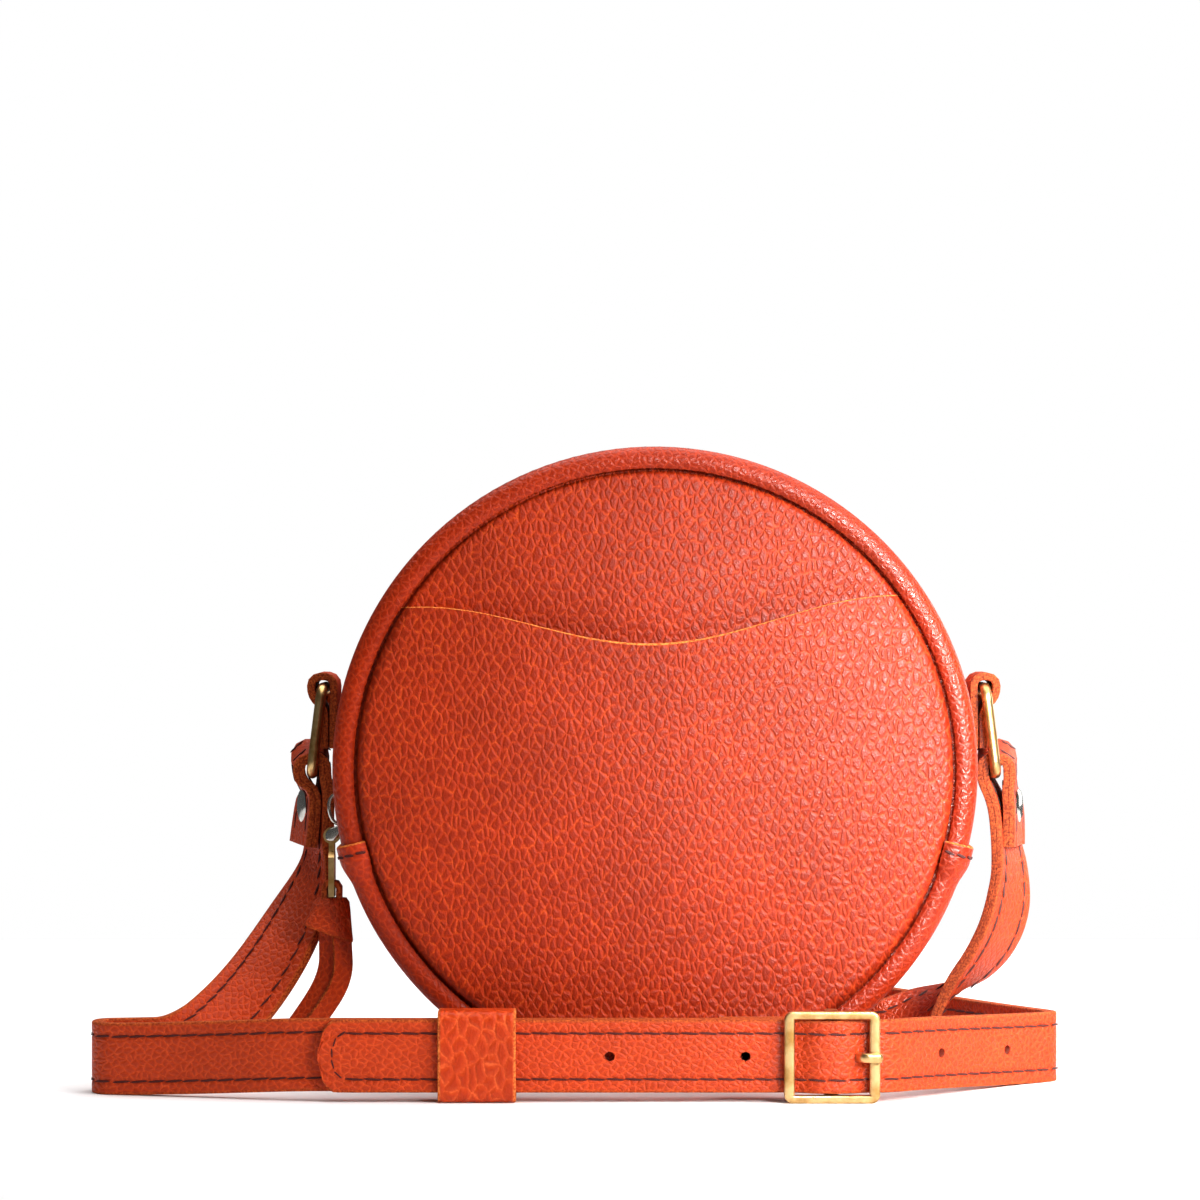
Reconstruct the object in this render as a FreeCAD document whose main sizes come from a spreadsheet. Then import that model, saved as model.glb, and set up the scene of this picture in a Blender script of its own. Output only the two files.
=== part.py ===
import FreeCAD, Part
import Sketcher
import math
import os
import re

# A round leather crossbody bag standing on its rim, its buckled strap laid round it on the floor.
# X runs to the right, Y to the back and Z up, in millimetres.
# The origin is the middle of the flat that the lower gusset rests on.

SIZES = [
    ("bag_radius", 89.0, "outside of the gusset"),
    ("bag_depth", 60.0, "across the two rolled rims"),
    ("sole_flat", 0.8, "how far the bottom is pressed flat"),
    ("gusset_thickness", 2.0, "leather of the gusset strips"),
    ("rim_roll", 4.0, "outside radius of the rolled rim"),
    ("rim_flange", 0.5, "straight leather below the roll, down to the seam"),
    ("seam_gap", 0.2, "gap left at a sewn seam"),
    ("panel_thickness", 2.0, "leather of the round panels"),
    ("panel_sink", 0.4, "panel edge behind the face of the rim"),
    ("panel_crown", 6.0, "bulge of a panel at its middle"),
    ("pocket_thickness", 1.8, "leather of the slip pocket"),
    ("pocket_corner", 47.0, "pocket corners above the bag's axis"),
    ("pocket_dip", 11.6, "depth of the scoop in the pocket's top edge"),
    ("lap_angle", 16.5, "degrees that the gusset joints lie below the axis"),
    ("lap_cover", 2.8, "degrees of zip strip covered by the lower gusset's lap"),
    ("lap_hold", 3.0, "degrees of lower gusset below its lap"),
    ("lap_thickness", 1.4, "skived leather of the lap"),
    ("zip_inset", 0.15, "zip strips lie this far inside the lap"),
    ("zip_forward", 9.0, "zip in front of the bag's middle plane"),
    ("zip_opening", 10.0, "slot between the two zip strips"),
    ("tape_thickness", 0.8, "woven zip tape"),
    ("tape_margin", 2.0, "tape edge short of the rolled rim"),
    ("tooth_reach", 2.9, "tooth back from the zip's middle line"),
    ("tooth_engage", 0.7, "tooth past the zip's middle line"),
    ("tooth_width", 1.3, "tooth along the zip"),
    ("tooth_height", 2.6, "tooth across the tape"),
    ("tooth_start", 6.5, "degrees below the axis of the first tooth"),
    ("tooth_short", 6.4, "degrees from the last tooth to the gusset joint"),
    ("stop_length", 1.8, "end stop along the zip"),
    ("stop_past", 2.6, "degrees from the last tooth to its end stop"),
    ("slider_drop", 8.0, "degrees below the axis of the closed slider"),
    ("slider_length", 11.0, "slider along the zip"),
    ("slider_width", 8.6, "slider across the zip"),
    ("slider_plate", 1.4, "top or bottom plate of the slider"),
    ("slider_lip", 0.7, "lip at each side of a slider plate"),
    ("slider_play", 0.4, "slider clear of the teeth"),
    ("wedge_length", 2.4, "post that joins the slider's plates"),
    ("wedge_width", 2.4, "post across the zip"),
    ("pin_diameter", 1.8, "pin between the slider's cheeks"),
    ("pin_rise", 2.4, "pin above the slider's top plate"),
    ("cheek_width", 6.8, "across both cheeks"),
    ("cheek_gap", 4.8, "between the cheeks"),
    ("puller_eye", 4.6, "puller's eye, outside diameter"),
    ("puller_length", 17.0, "pin to the puller's lower end"),
    ("puller_width", 7.6, "puller plate across"),
    ("puller_thickness", 1.6, "puller plate"),
    ("puller_slot", 2.8, "height of the slot for the lace"),
    ("lace_width", 5.4, "leather lace across"),
    ("lace_thickness", 1.6, "leather lace"),
    ("knot_height", 12.0, "knot of the lace"),
    ("knot_width", 14.0, "knot across its lower end"),
    ("tail_drop", 26.0, "height of the hanging tails"),
    ("strap_width", 19.5, "both strap parts"),
    ("strap_thickness", 3.4, "two leather layers, sewn"),
    ("strap_gap", 0.3, "gap between strap layers that lie together"),
    ("ring_wire", 3.0, "wire of the rectangular rings"),
    ("ring_play", 1.6, "ring wider than the strap"),
    ("ring_drop", 24.2, "between the top and bottom bars of a ring"),
    ("ring_corner", 3.4, "bend of the wire at a ring's corner"),
    ("ring_back", 11.0, "rings behind the bag's middle plane"),
    ("ring_lean", 7.0, "degrees that a ring leans outwards"),
    ("ring_height", 21.8, "top bar above the bag's axis"),
    ("tab_thickness", 2.2, "leather of the ring tabs"),
    ("tab_leg", 17.0, "legs of a tab below the top bar"),
    ("bar_slack", 0.4, "leather loop clear of the bar in it"),
    ("loop_fall", 9.6, "bottom bar down to the strap rivet"),
    ("loop_tail", 11.0, "strap rivet down to the folded end"),
    ("rivet_cap", 9.6, "cap of a strap rivet, diameter"),
    ("rivet_height", 1.2, "cap of a rivet, height"),
    ("rivet_post", 3.0, "post of a rivet, diameter"),
    ("post_play", 0.1, "hole wider than the post"),
    ("front_reach", 55.4, "middle of the front strap run, ahead of the bag"),
    ("tip_reach", 91.0, "strap tip, left of the middle"),
    ("tip_round", 7.0, "corners of the strap tip"),
    ("hole_diameter", 2.8, "strap holes"),
    ("hole_pitch", 33.5, "strap holes, spacing"),
    ("buckle_right", 47.0, "buckle's centre bar, right of the middle"),
    ("buckle_length", 25.8, "buckle frame along the strap"),
    ("buckle_bar", 2.9, "end bars of the buckle"),
    ("buckle_rail", 2.2, "top and bottom rails of the buckle"),
    ("buckle_depth", 2.8, "buckle frame, front to back"),
    ("centre_bar", 3.0, "centre bar, diameter"),
    ("rail_play", 0.4, "strap clear of the buckle's rails and the keeper"),
    ("bow_rise", 3.0, "strap bowed forward over the centre bar"),
    ("fold_length", 30.0, "short strap folded back behind the bar"),
    ("prong_width", 2.0, "prong"),
    ("keeper_left", 48.2, "middle of the keeper, left of the middle"),
    ("keeper_length", 20.9, "keeper along the strap"),
    ("keeper_thickness", 2.2, "leather of the keeper"),
    ("fold_radius", 5.5, "strap bends lying on the floor"),
    ("hank_pitch", 12.0, "spacing of the strap runs behind the bag"),
    ("hank_reach", 48.0, "half length of the strap runs behind the bag"),
    ("hank_clear", 12.0, "nearest strap run behind the rim"),
    ("overrun", 5.0, "how far a cutter stands past what it cuts"),
]

# sizes that follow from the ones above
FOLLOWS = {
    "axis_height": "bag_radius - sole_flat",
    "half_depth": "bag_depth / 2",
    "seam_radius": "bag_radius - rim_roll - rim_flange",
    "panel_edge": "seam_radius - seam_gap",
    "panel_face": "half_depth - panel_sink",
    "crown_radius": "(panel_edge * panel_edge + panel_crown * panel_crown) / (2 * panel_crown)",
    "pocket_back": "panel_face + seam_gap",
    "pocket_face": "pocket_back + pocket_thickness",
    "scoop_half": "seam_radius * 0.83",
    "scoop_radius": "(scoop_half * scoop_half + pocket_dip * pocket_dip) / (4 * pocket_dip)",
    "strip_radius": "bag_radius - zip_inset",
    "strip_face": "half_depth - zip_inset",
    "strip_roll": "rim_roll - zip_inset",
    "slot_front": "zip_forward + zip_opening / 2",
    "slot_back": "zip_opening / 2 - zip_forward",
    "tape_width": "half_depth - rim_roll - zip_forward - tape_margin",
    "tape_outside": "strip_radius - gusset_thickness - seam_gap",
    "tape_inside": "tape_outside - tape_thickness",
    "tooth_outside": "tape_outside - tape_thickness / 2 + tooth_height / 2",
    "tooth_inside": "tooth_outside - tooth_height",
    "plate_above": "tooth_outside + slider_play",
    "slider_top": "plate_above + slider_plate",
    "plate_below": "tooth_inside - slider_play",
    "slider_bottom": "plate_below - slider_plate",
    "lip_above": "tape_outside + slider_play",
    "lip_below": "tape_inside - slider_play",
    "tooth_span": "180 + tooth_start + lap_angle - tooth_short",
    "stop_reach": "(slider_length + stop_length) / 2 + slider_play",
    "stop_drop": "slider_drop + stop_reach / slider_bottom * 180 / pi",
    "pin_radius_out": "slider_top + pin_rise",
    "pin_along": "slider_length / 2 + pin_diameter / 2",
    "ring_half": "(strap_width + ring_play + ring_wire) / 2",
    "tab_inside": "bag_radius + seam_gap",
    "ring_out": "tab_inside + tab_thickness + bar_slack + ring_wire / 2",
    "run_height": "max(keeper_thickness; buckle_rail) + rail_play",
}

document = FreeCAD.newDocument("circle_bag")
sheet = document.addObject("Spreadsheet::Sheet", "Sizes")
for row, (alias, value, note) in enumerate(SIZES, 1):
    sheet.set(f"A{row}", note)
    sheet.set(f"B{row}", str(value))
    sheet.setAlias(f"B{row}", alias)
document.recompute()

ALIASES = {alias for alias, value, note in SIZES}


def bound(text):
    """Write out the sizes that follow, and point every alias at its cell."""
    def cell(match):
        word = match.group(0)
        if word in FOLLOWS:
            return "(" + bound(FOLLOWS[word]) + ")"
        if word in ALIASES:
            return "Sizes." + word
        return word
    return re.sub(r"[a-z_]+", cell, text)


def mm(text):
    """The number that a size, or a sum of sizes, comes to."""
    return float(sheet.evalExpression(bound(text)))


def vec(x, y, z):
    return FreeCAD.Vector(x, y, z)


def new_body(name):
    body = document.addObject("PartDesign::Body", name)
    body.Label = name
    return body


def place(item, x="0", y="0", z="0", turn=None):
    """Stand a piece at a place given in sizes, turned about Y by an angle given in sizes."""
    if turn is not None:
        item.Placement = FreeCAD.Placement(vec(0, 0, 0), FreeCAD.Rotation(vec(0, 1, 0), 90))
        item.setExpression("Placement.Rotation.Angle", bound(turn))
    for axis, text in zip("xyz", (x, y, z)):
        item.setExpression(f"Placement.Base.{axis}", bound(text))


def new_sketch(body, name, role):
    sketch = body.newObject("Sketcher::SketchObject", name)
    plane = next(item for item in body.Origin.OriginFeatures if item.Role == role)
    sketch.AttachmentSupport = [(plane, "")]
    sketch.MapMode = "FlatFace"
    return sketch


def pin_point(sketch, edge, end, corner):
    """Fix one point of a sketch by two expressions."""
    for kind, text, axis in (("DistanceX", corner[0], -2), ("DistanceY", corner[1], -1)):
        if text == "0":
            sketch.addConstraint(Sketcher.Constraint("PointOnObject", edge, end, axis))
            continue
        rule = sketch.addConstraint(Sketcher.Constraint(kind, -1, 1, edge, end, mm(text)))
        sketch.setExpression(f"Constraints[{rule}]", bound(text))


def outline(body, name, role, corners, arcs=None):
    """A closed outline of straight edges; arcs gives an edge a radius and a turn, +1 to the left."""
    sketch = new_sketch(body, name, role)
    arcs = arcs or {}
    points = [vec(mm(x), mm(y), 0) for x, y in corners]
    count = len(points)
    starts = []
    for edge in range(count):
        here = points[edge]
        there = points[(edge + 1) % count]
        if edge not in arcs:
            sketch.addGeometry(Part.LineSegment(here, there), False)
            starts.append((1, 2))
            continue
        radius = mm(arcs[edge][0])
        turn = arcs[edge][1]
        chord = there - here
        side = vec(-chord.y, chord.x, 0).normalize() * turn
        middle = here + chord * 0.5 + side * math.sqrt(max(radius ** 2 - chord.Length ** 2 / 4, 0))
        first, last = (here, there) if turn > 0 else (there, here)
        angles = [math.atan2(point.y - middle.y, point.x - middle.x) for point in (first, last)]
        circle = Part.Circle(middle, vec(0, 0, 1), radius)
        sketch.addGeometry(Part.ArcOfCircle(circle, angles[0], angles[1]), False)
        starts.append((1, 2) if turn > 0 else (2, 1))
    for edge in range(count):
        before = (edge - 1) % count
        sketch.addConstraint(
            Sketcher.Constraint("Coincident", before, starts[before][1], edge, starts[edge][0])
        )
        pin_point(sketch, edge, starts[edge][0], corners[edge])
    for edge in arcs:
        rule = sketch.addConstraint(Sketcher.Constraint("Radius", edge, mm(arcs[edge][0])))
        sketch.setExpression(f"Constraints[{rule}]", bound(arcs[edge][0]))
    return sketch


def disc(body, name, role, x, y, radius):
    """A circle at a place given in sizes."""
    sketch = new_sketch(body, name, role)
    circle = Part.Circle(vec(mm(x), mm(y), 0), vec(0, 0, 1), mm(radius))
    sketch.addGeometry(circle, False)
    pin_point(sketch, 0, 3, (x, y))
    rule = sketch.addConstraint(Sketcher.Constraint("Radius", 0, mm(radius)))
    sketch.setExpression(f"Constraints[{rule}]", bound(radius))
    return sketch


def box_corners(left, right, low, high):
    return [(left, low), (right, low), (right, high), (left, high)]


def revolve(body, sketch, angle=None, both=True, axis="H_Axis"):
    feature = body.newObject("PartDesign::Revolution", sketch.Name + "_turned")
    feature.Profile = sketch
    feature.ReferenceAxis = (sketch, [axis])
    feature.Angle = 360
    if angle is not None:
        feature.Midplane = both
        feature.setExpression("Angle", bound(angle))
    return feature


def pad(body, sketch, length):
    feature = body.newObject("PartDesign::Pad", sketch.Name + "_pad")
    feature.Profile = sketch
    feature.Midplane = True
    feature.setExpression("Length", bound(length))
    return feature


def pocket(body, sketch, length):
    feature = body.newObject("PartDesign::Pocket", sketch.Name + "_cut")
    feature.Profile = sketch
    feature.Midplane = True
    feature.setExpression("Length", bound(length))
    return feature


def fillet(body, base, names, radius):
    feature = body.newObject("PartDesign::Fillet", base.Name + "_round")
    feature.Base = (base, names)
    feature.setExpression("Radius", bound(radius))
    return feature


def edges_along(shape, direction):
    """Names of the straight edges along one axis."""
    names = []
    for number, edge in enumerate(shape.Edges, 1):
        if edge.Curve.TypeId != "Part::GeomLine":
            continue
        if abs(edge.tangentAt(edge.FirstParameter).dot(direction)) > 0.999:
            names.append(f"Edge{number}")
    return names


pieces = []

# The two crowned panels, each a shell turned about the bag's axis.
for name, sign in (("front_panel", "-"), ("back_panel", "")):
    body = new_body(name)
    turn = -1 if sign else 1
    sketch = outline(
        body,
        name + "_section",
        "YZ_Plane",
        [
            (sign + "(panel_face + panel_crown)", "0"),
            (sign + "panel_face", "panel_edge"),
            (sign + "(panel_face - panel_thickness)", "panel_edge"),
            (sign + "(panel_face + panel_crown - panel_thickness)", "0"),
        ],
        {0: ("crown_radius", turn), 2: ("crown_radius", -turn)},
    )
    revolve(body, sketch)
    place(body, z="axis_height")
    pieces.append(body)

# The slip pocket lies on the front panel and is scooped along its top edge.
body = new_body("front_pocket")
sketch = outline(
    body,
    "pocket_section",
    "YZ_Plane",
    [
        ("-(pocket_face + panel_crown)", "0"),
        ("-pocket_face", "panel_edge"),
        ("-pocket_back", "panel_edge"),
        ("-(pocket_back + panel_crown)", "0"),
    ],
    {0: ("crown_radius", -1), 2: ("crown_radius", 1)},
)
revolve(body, sketch)
sketch = outline(
    body,
    "pocket_scoop",
    "XZ_Plane",
    [
        ("-(bag_radius + overrun)", "pocket_corner"),
        ("-scoop_half", "pocket_corner"),
        ("-scoop_half / 2", "pocket_corner - pocket_dip / 2"),
        ("scoop_half / 2", "pocket_corner - pocket_dip / 2"),
        ("scoop_half", "pocket_corner"),
        ("bag_radius + overrun", "pocket_corner"),
        ("bag_radius + overrun", "bag_radius + overrun"),
        ("-(bag_radius + overrun)", "bag_radius + overrun"),
    ],
    {1: ("scoop_radius", -1), 2: ("scoop_radius", 1), 3: ("scoop_radius", -1)},
)
pocket(body, sketch, "4 * bag_depth")
place(body, z="axis_height")
pieces.append(body)

# The lower gusset is a channel: its edges roll over both seams.
body = new_body("lower_gusset")
sketch = outline(
    body,
    "lower_section",
    "YZ_Plane",
    [
        ("-half_depth", "seam_radius"),
        ("-half_depth", "bag_radius - rim_roll"),
        ("-(half_depth - rim_roll)", "bag_radius"),
        ("half_depth - rim_roll", "bag_radius"),
        ("half_depth", "bag_radius - rim_roll"),
        ("half_depth", "seam_radius"),
        ("half_depth - gusset_thickness", "seam_radius"),
        ("half_depth - gusset_thickness", "bag_radius - rim_roll"),
        ("half_depth - rim_roll", "bag_radius - gusset_thickness"),
        ("-(half_depth - rim_roll)", "bag_radius - gusset_thickness"),
        ("-(half_depth - gusset_thickness)", "bag_radius - rim_roll"),
        ("-(half_depth - gusset_thickness)", "seam_radius"),
    ],
    {
        1: ("rim_roll", -1),
        3: ("rim_roll", -1),
        7: ("rim_roll - gusset_thickness", 1),
        9: ("rim_roll - gusset_thickness", 1),
    },
)
revolve(body, sketch, "180 - 2 * lap_angle")
LAPS = (
    ("lap_near", "90 - lap_angle - lap_hold"),
    ("lap_far", "-(90 - lap_angle + lap_cover)"),
)
for name, start in LAPS:
    sketch = outline(
        body,
        name,
        "YZ_Plane",
        [
            ("-half_depth", "seam_radius"),
            ("-(half_depth + lap_thickness)", "seam_radius"),
            ("-(half_depth + lap_thickness)", "bag_radius - rim_roll"),
            ("-(half_depth - rim_roll)", "bag_radius + lap_thickness"),
            ("half_depth - rim_roll", "bag_radius + lap_thickness"),
            ("half_depth + lap_thickness", "bag_radius - rim_roll"),
            ("half_depth + lap_thickness", "seam_radius"),
            ("half_depth", "seam_radius"),
            ("half_depth", "bag_radius - rim_roll"),
            ("half_depth - rim_roll", "bag_radius"),
            ("-(half_depth - rim_roll)", "bag_radius"),
            ("-half_depth", "bag_radius - rim_roll"),
        ],
        {
            2: ("rim_roll + lap_thickness", -1),
            4: ("rim_roll + lap_thickness", -1),
            8: ("rim_roll", 1),
            10: ("rim_roll", 1),
        },
    )
    sketch.AttachmentOffset = FreeCAD.Placement(vec(0, 0, 0), FreeCAD.Rotation(vec(1, 0, 0), 90))
    sketch.setExpression("AttachmentOffset.Rotation.Angle", bound(start))
    revolve(body, sketch, "lap_hold + lap_cover", both=False)
sketch = outline(
    body,
    "sole_cut",
    "XZ_Plane",
    box_corners("-bag_radius", "bag_radius", "axis_height", "bag_radius + overrun"),
)
pocket(body, sketch, "2 * bag_depth")
place(body, z="axis_height", turn="180")
pieces.append(body)

# The two zip strips cross over the top, a slot for the zip between them.
for name, sign, slot, turn in (
    ("zip_gusset_front", "-", "-slot_front", -1),
    ("zip_gusset_back", "", "slot_back", 1),
):
    body = new_body(name)
    sketch = outline(
        body,
        name + "_section",
        "YZ_Plane",
        [
            (sign + "strip_face", "seam_radius"),
            (sign + "strip_face", "bag_radius - rim_roll"),
            (sign + "(half_depth - rim_roll)", "strip_radius"),
            (slot, "strip_radius"),
            (slot, "strip_radius - gusset_thickness"),
            (sign + "(half_depth - rim_roll)", "strip_radius - gusset_thickness"),
            (sign + "(strip_face - gusset_thickness)", "bag_radius - rim_roll"),
            (sign + "(strip_face - gusset_thickness)", "seam_radius"),
        ],
        {1: ("strip_roll", turn), 5: ("strip_roll - gusset_thickness", -turn)},
    )
    revolve(body, sketch, "180 + 2 * lap_angle - 2 * seam_gap")
    place(body, z="axis_height")
    pieces.append(body)

# The zip tapes lie under the strips.
for name, near, far in (
    ("zip_tape_front", "-(zip_forward + tooth_reach + seam_gap)", "-(zip_forward + tape_width)"),
    ("zip_tape_back", "tooth_reach + seam_gap - zip_forward", "tape_width - zip_forward"),
):
    body = new_body(name)
    sketch = outline(
        body, name + "_section", "YZ_Plane", box_corners(near, far, "tape_inside", "tape_outside")
    )
    revolve(body, sketch, "180 + 2 * lap_angle - 2 * seam_gap")
    place(body, z="axis_height")
    pieces.append(body)


def array_round(body, base, angle, count):
    """Repeat a feature round the bag's axis, the way that the zip runs."""
    feature = body.newObject("PartDesign::PolarPattern", base.Name + "_row")
    feature.Originals = [base]
    axis = next(item for item in body.Origin.OriginFeatures if item.Role == "Y_Axis")
    feature.Axis = (axis, [""])
    feature.setExpression("Angle", bound(angle))
    feature.Occurrences = count
    body.Tip = feature


# The two rows of teeth, staggered by half a pitch.
TOOTH_COUNT = 90
for name, middle, stagger in (
    ("zip_teeth_front", "-zip_forward - (tooth_reach - tooth_engage) / 2", 0),
    ("zip_teeth_back", "-zip_forward + (tooth_reach - tooth_engage) / 2", 1),
):
    body = new_body(name)
    sketch = outline(
        body,
        name + "_section",
        "XZ_Plane",
        box_corners("-tooth_width / 2", "tooth_width / 2", "tooth_inside", "tooth_outside"),
    )
    base = pad(body, sketch, "tooth_reach + tooth_engage")
    array_round(body, base, "tooth_span", TOOTH_COUNT)
    half_pitch = f"{stagger} * tooth_span / {2 * (TOOTH_COUNT - 1)}"
    place(body, y=middle, z="axis_height", turn=f"-(90 + tooth_start) + {half_pitch}")
    pieces.append(body)

# A stop at each end of the zip.
body = new_body("zip_stops")
sketch = outline(
    body,
    "stop_section",
    "XZ_Plane",
    box_corners("-stop_length / 2", "stop_length / 2", "tooth_inside", "tooth_outside"),
)
base = pad(body, sketch, "2 * tooth_reach")
array_round(body, base, "stop_drop - tooth_start + tooth_span + stop_past", 2)
place(body, y="-zip_forward", z="axis_height", turn="-(90 + stop_drop)")
pieces.append(body)

# The slider: two plates round the teeth, joined by a post, with cheeks and a pin for the puller.
body = new_body("zip_slider")
for name, flat, rim, lip in (
    ("slider_upper", "plate_above", "slider_top", "lip_above"),
    ("slider_lower", "plate_below", "slider_bottom", "lip_below"),
):
    sketch = outline(
        body,
        name,
        "YZ_Plane",
        [
            ("-slider_width / 2", lip),
            ("-slider_width / 2", rim),
            ("slider_width / 2", rim),
            ("slider_width / 2", lip),
            ("slider_width / 2 - slider_lip", lip),
            ("slider_width / 2 - slider_lip", flat),
            ("-(slider_width / 2 - slider_lip)", flat),
            ("-(slider_width / 2 - slider_lip)", lip),
        ],
    )
    pad(body, sketch, "slider_length")
sketch = outline(
    body,
    "slider_wedge",
    "XZ_Plane",
    box_corners(
        "-slider_length / 2",
        "wedge_length - slider_length / 2",
        "plate_below - slider_plate / 2",
        "plate_above + slider_plate / 2",
    ),
)
pad(body, sketch, "wedge_width")
sketch = outline(
    body,
    "slider_cheeks",
    "XZ_Plane",
    [
        ("-(pin_along + pin_diameter)", "slider_top"),
        ("-(pin_along - pin_diameter * 2)", "slider_top - slider_plate / 2"),
        ("-(pin_along - pin_diameter * 2)", "slider_top"),
        ("-(pin_along - pin_diameter)", "pin_radius_out + pin_diameter"),
        ("-(pin_along + pin_diameter)", "pin_radius_out + pin_diameter"),
    ],
)
pad(body, sketch, "cheek_width")
sketch = outline(
    body,
    "cheek_slot",
    "XZ_Plane",
    box_corners(
        "-(pin_along + pin_diameter + overrun)",
        "0",
        "slider_top",
        "pin_radius_out + pin_diameter + overrun",
    ),
)
pocket(body, sketch, "cheek_gap")
sketch = disc(body, "slider_pin", "XZ_Plane", "-pin_along", "pin_radius_out", "pin_diameter / 2")
pad(body, sketch, "cheek_width")
place(body, y="-zip_forward", z="axis_height", turn="-(90 + slider_drop)")
pieces.append(body)

# Where the pin stands with the zip closed.
PIN_X = "(pin_along * sin(slider_drop) - pin_radius_out * cos(slider_drop))"
PIN_Z = "(axis_height - pin_along * cos(slider_drop) - pin_radius_out * sin(slider_drop))"

# The puller hangs straight down from the pin, slotted for the lace.
body = new_body("zip_puller")
sketch = outline(
    body,
    "puller_plate",
    "YZ_Plane",
    [
        ("-cheek_gap * 0.45", "0"),
        ("-cheek_gap * 0.45", "-puller_length * 0.25"),
        ("-puller_width / 2", "-puller_length * 0.35"),
        ("-puller_width / 2", "-puller_length"),
        ("puller_width / 2", "-puller_length"),
        ("puller_width / 2", "-puller_length * 0.35"),
        ("cheek_gap * 0.45", "-puller_length * 0.25"),
        ("cheek_gap * 0.45", "0"),
    ],
)
pad(body, sketch, "puller_thickness")
sketch = disc(body, "puller_eye_disc", "XZ_Plane", "0", "0", "puller_eye / 2")
pad(body, sketch, "cheek_gap * 0.9")
sketch = disc(body, "puller_eye_hole", "XZ_Plane", "0", "0", "pin_diameter / 2 + post_play")
pocket(body, sketch, "cheek_gap + overrun")
sketch = outline(
    body,
    "puller_slot_cut",
    "YZ_Plane",
    box_corners(
        "-puller_width * 0.38",
        "puller_width * 0.38",
        "-(puller_length * 0.9)",
        "-(puller_length * 0.9 - puller_slot)",
    ),
)
pocket(body, sketch, "puller_thickness + overrun")
place(body, x=PIN_X, y="-zip_forward", z=PIN_Z)
pieces.append(body)


def rounded_path(corners, bends, up):
    """Straight runs joined by tangent arcs: (start, middle, end) points and the left-hand normals there."""
    runs = []
    here = corners[0]
    for index in range(1, len(corners)):
        corner = corners[index]
        ahead = (corner - corners[index - 1]).normalize()
        left = up.cross(ahead)
        last = index == len(corners) - 1
        turn = 0 if last else math.acos(
            max(-1, min(1, ahead.dot((corners[index + 1] - corner).normalize())))
        )
        if turn < 1e-6:
            if last and (corner - here).Length > 1e-6:
                runs.append(((here, (here + corner) * 0.5, corner), (left, left, left), True))
                here = corner
            continue
        after = (corners[index + 1] - corner).normalize()
        bend = bends[index]
        cut = bend * math.tan(turn / 2)
        start = corner - ahead * cut
        end = corner + after * cut
        if (start - here).Length > 1e-6:
            runs.append(((here, (here + start) * 0.5, start), (left, left, left), True))
        side = 1 if up.cross(ahead).dot(after) > 0 else -1
        centre = start + left * bend * side
        spoke = (corner - centre).normalize()
        middle = centre + spoke * bend
        normals = ((centre - start) * (side / bend), spoke * -side, (centre - end) * (side / bend))
        runs.append(((start, middle, end), normals, False))
        here = end
    return runs


def arc_edge(points):
    """The arc through three evenly spaced points, on a circle whose start lies opposite to it."""
    circle = Part.Circle(*points)
    circle.XAxis = circle.Center - points[1]
    half = (points[0] - circle.Center).getAngle(points[1] - circle.Center)
    return Part.ArcOfCircle(circle, math.pi - half, math.pi + half).toShape()


def run_length(run):
    points, normals, straight = run
    if straight:
        return (points[2] - points[0]).Length
    return arc_edge(points).Length


def band(runs, across, depth):
    """A strip of even width along a path, drawn in its plane and extruded."""
    sides = []
    for sign in (1, -1):
        edges = []
        for points, normals, straight in runs:
            moved = [point + normal * (across / 2 * sign) for point, normal in zip(points, normals)]
            edge = Part.LineSegment(moved[0], moved[2]).toShape() if straight else arc_edge(moved)
            edges.append((moved, edge))
        sides.append(edges)
    caps = [
        Part.LineSegment(sides[0][0][0][0], sides[1][0][0][0]).toShape(),
        Part.LineSegment(sides[0][-1][0][2], sides[1][-1][0][2]).toShape(),
    ]
    edges = [edge for side in sides for moved, edge in side] + caps
    wire = Part.Wire(Part.__sortEdges__(edges))
    return Part.Face(wire).extrude(depth)


def along(runs, distance):
    """The point at a distance along a path, and the normal there."""
    for run in runs:
        points, normals, straight = run
        length = run_length(run)
        if distance <= length:
            share = distance / length
            normal = (normals[0] * (1 - share) + normals[2] * share).normalize()
            if straight:
                return points[0] + (points[2] - points[0]) * share, normal
            bend = (points[0] - Part.Circle(*points).Center).Length
            side = 1 if normals[1].dot(points[1] - points[0]) > 0 else -1
            centre = points[0] + normals[0] * (bend * side)
            return centre - normal * (bend * side), normal
        distance -= length
    return runs[-1][0][2], runs[-1][1][2]


def solid_piece(name, shape):
    """A piece whose shape follows the sheet through the sums above it."""
    item = document.addObject("Part::Feature", name)
    item.Label = name
    item.Shape = shape
    pieces.append(item)
    return item


# The lace passes through the puller's slot, is knotted below it and hangs in two tails.
pin = vec(mm(PIN_X), -mm("zip_forward"), mm(PIN_Z))
lace_width = mm("lace_width")
lace_thickness = mm("lace_thickness")
slot_floor = pin.z - mm("puller_length * 0.9")
knot_top = pin.z - mm("puller_length") - mm("bar_slack")
hook = mm("puller_thickness / 2 + bar_slack + lace_thickness / 2")
rise = slot_floor + lace_thickness / 2 + mm("bar_slack") / 2
knot_height = mm("knot_height")
back = vec(0, 1, 0)
corners = [
    vec(pin.x + hook, pin.y - lace_width / 2, knot_top - knot_height / 4),
    vec(pin.x + hook, pin.y - lace_width / 2, rise),
    vec(pin.x - hook, pin.y - lace_width / 2, rise),
    vec(pin.x - hook, pin.y - lace_width / 2, knot_top - knot_height / 4),
]
bend = lace_thickness * 0.55
loop = band(rounded_path(corners, [0, bend, bend, 0], back), lace_thickness, back * lace_width)
knot_width = mm("knot_width")
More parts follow.
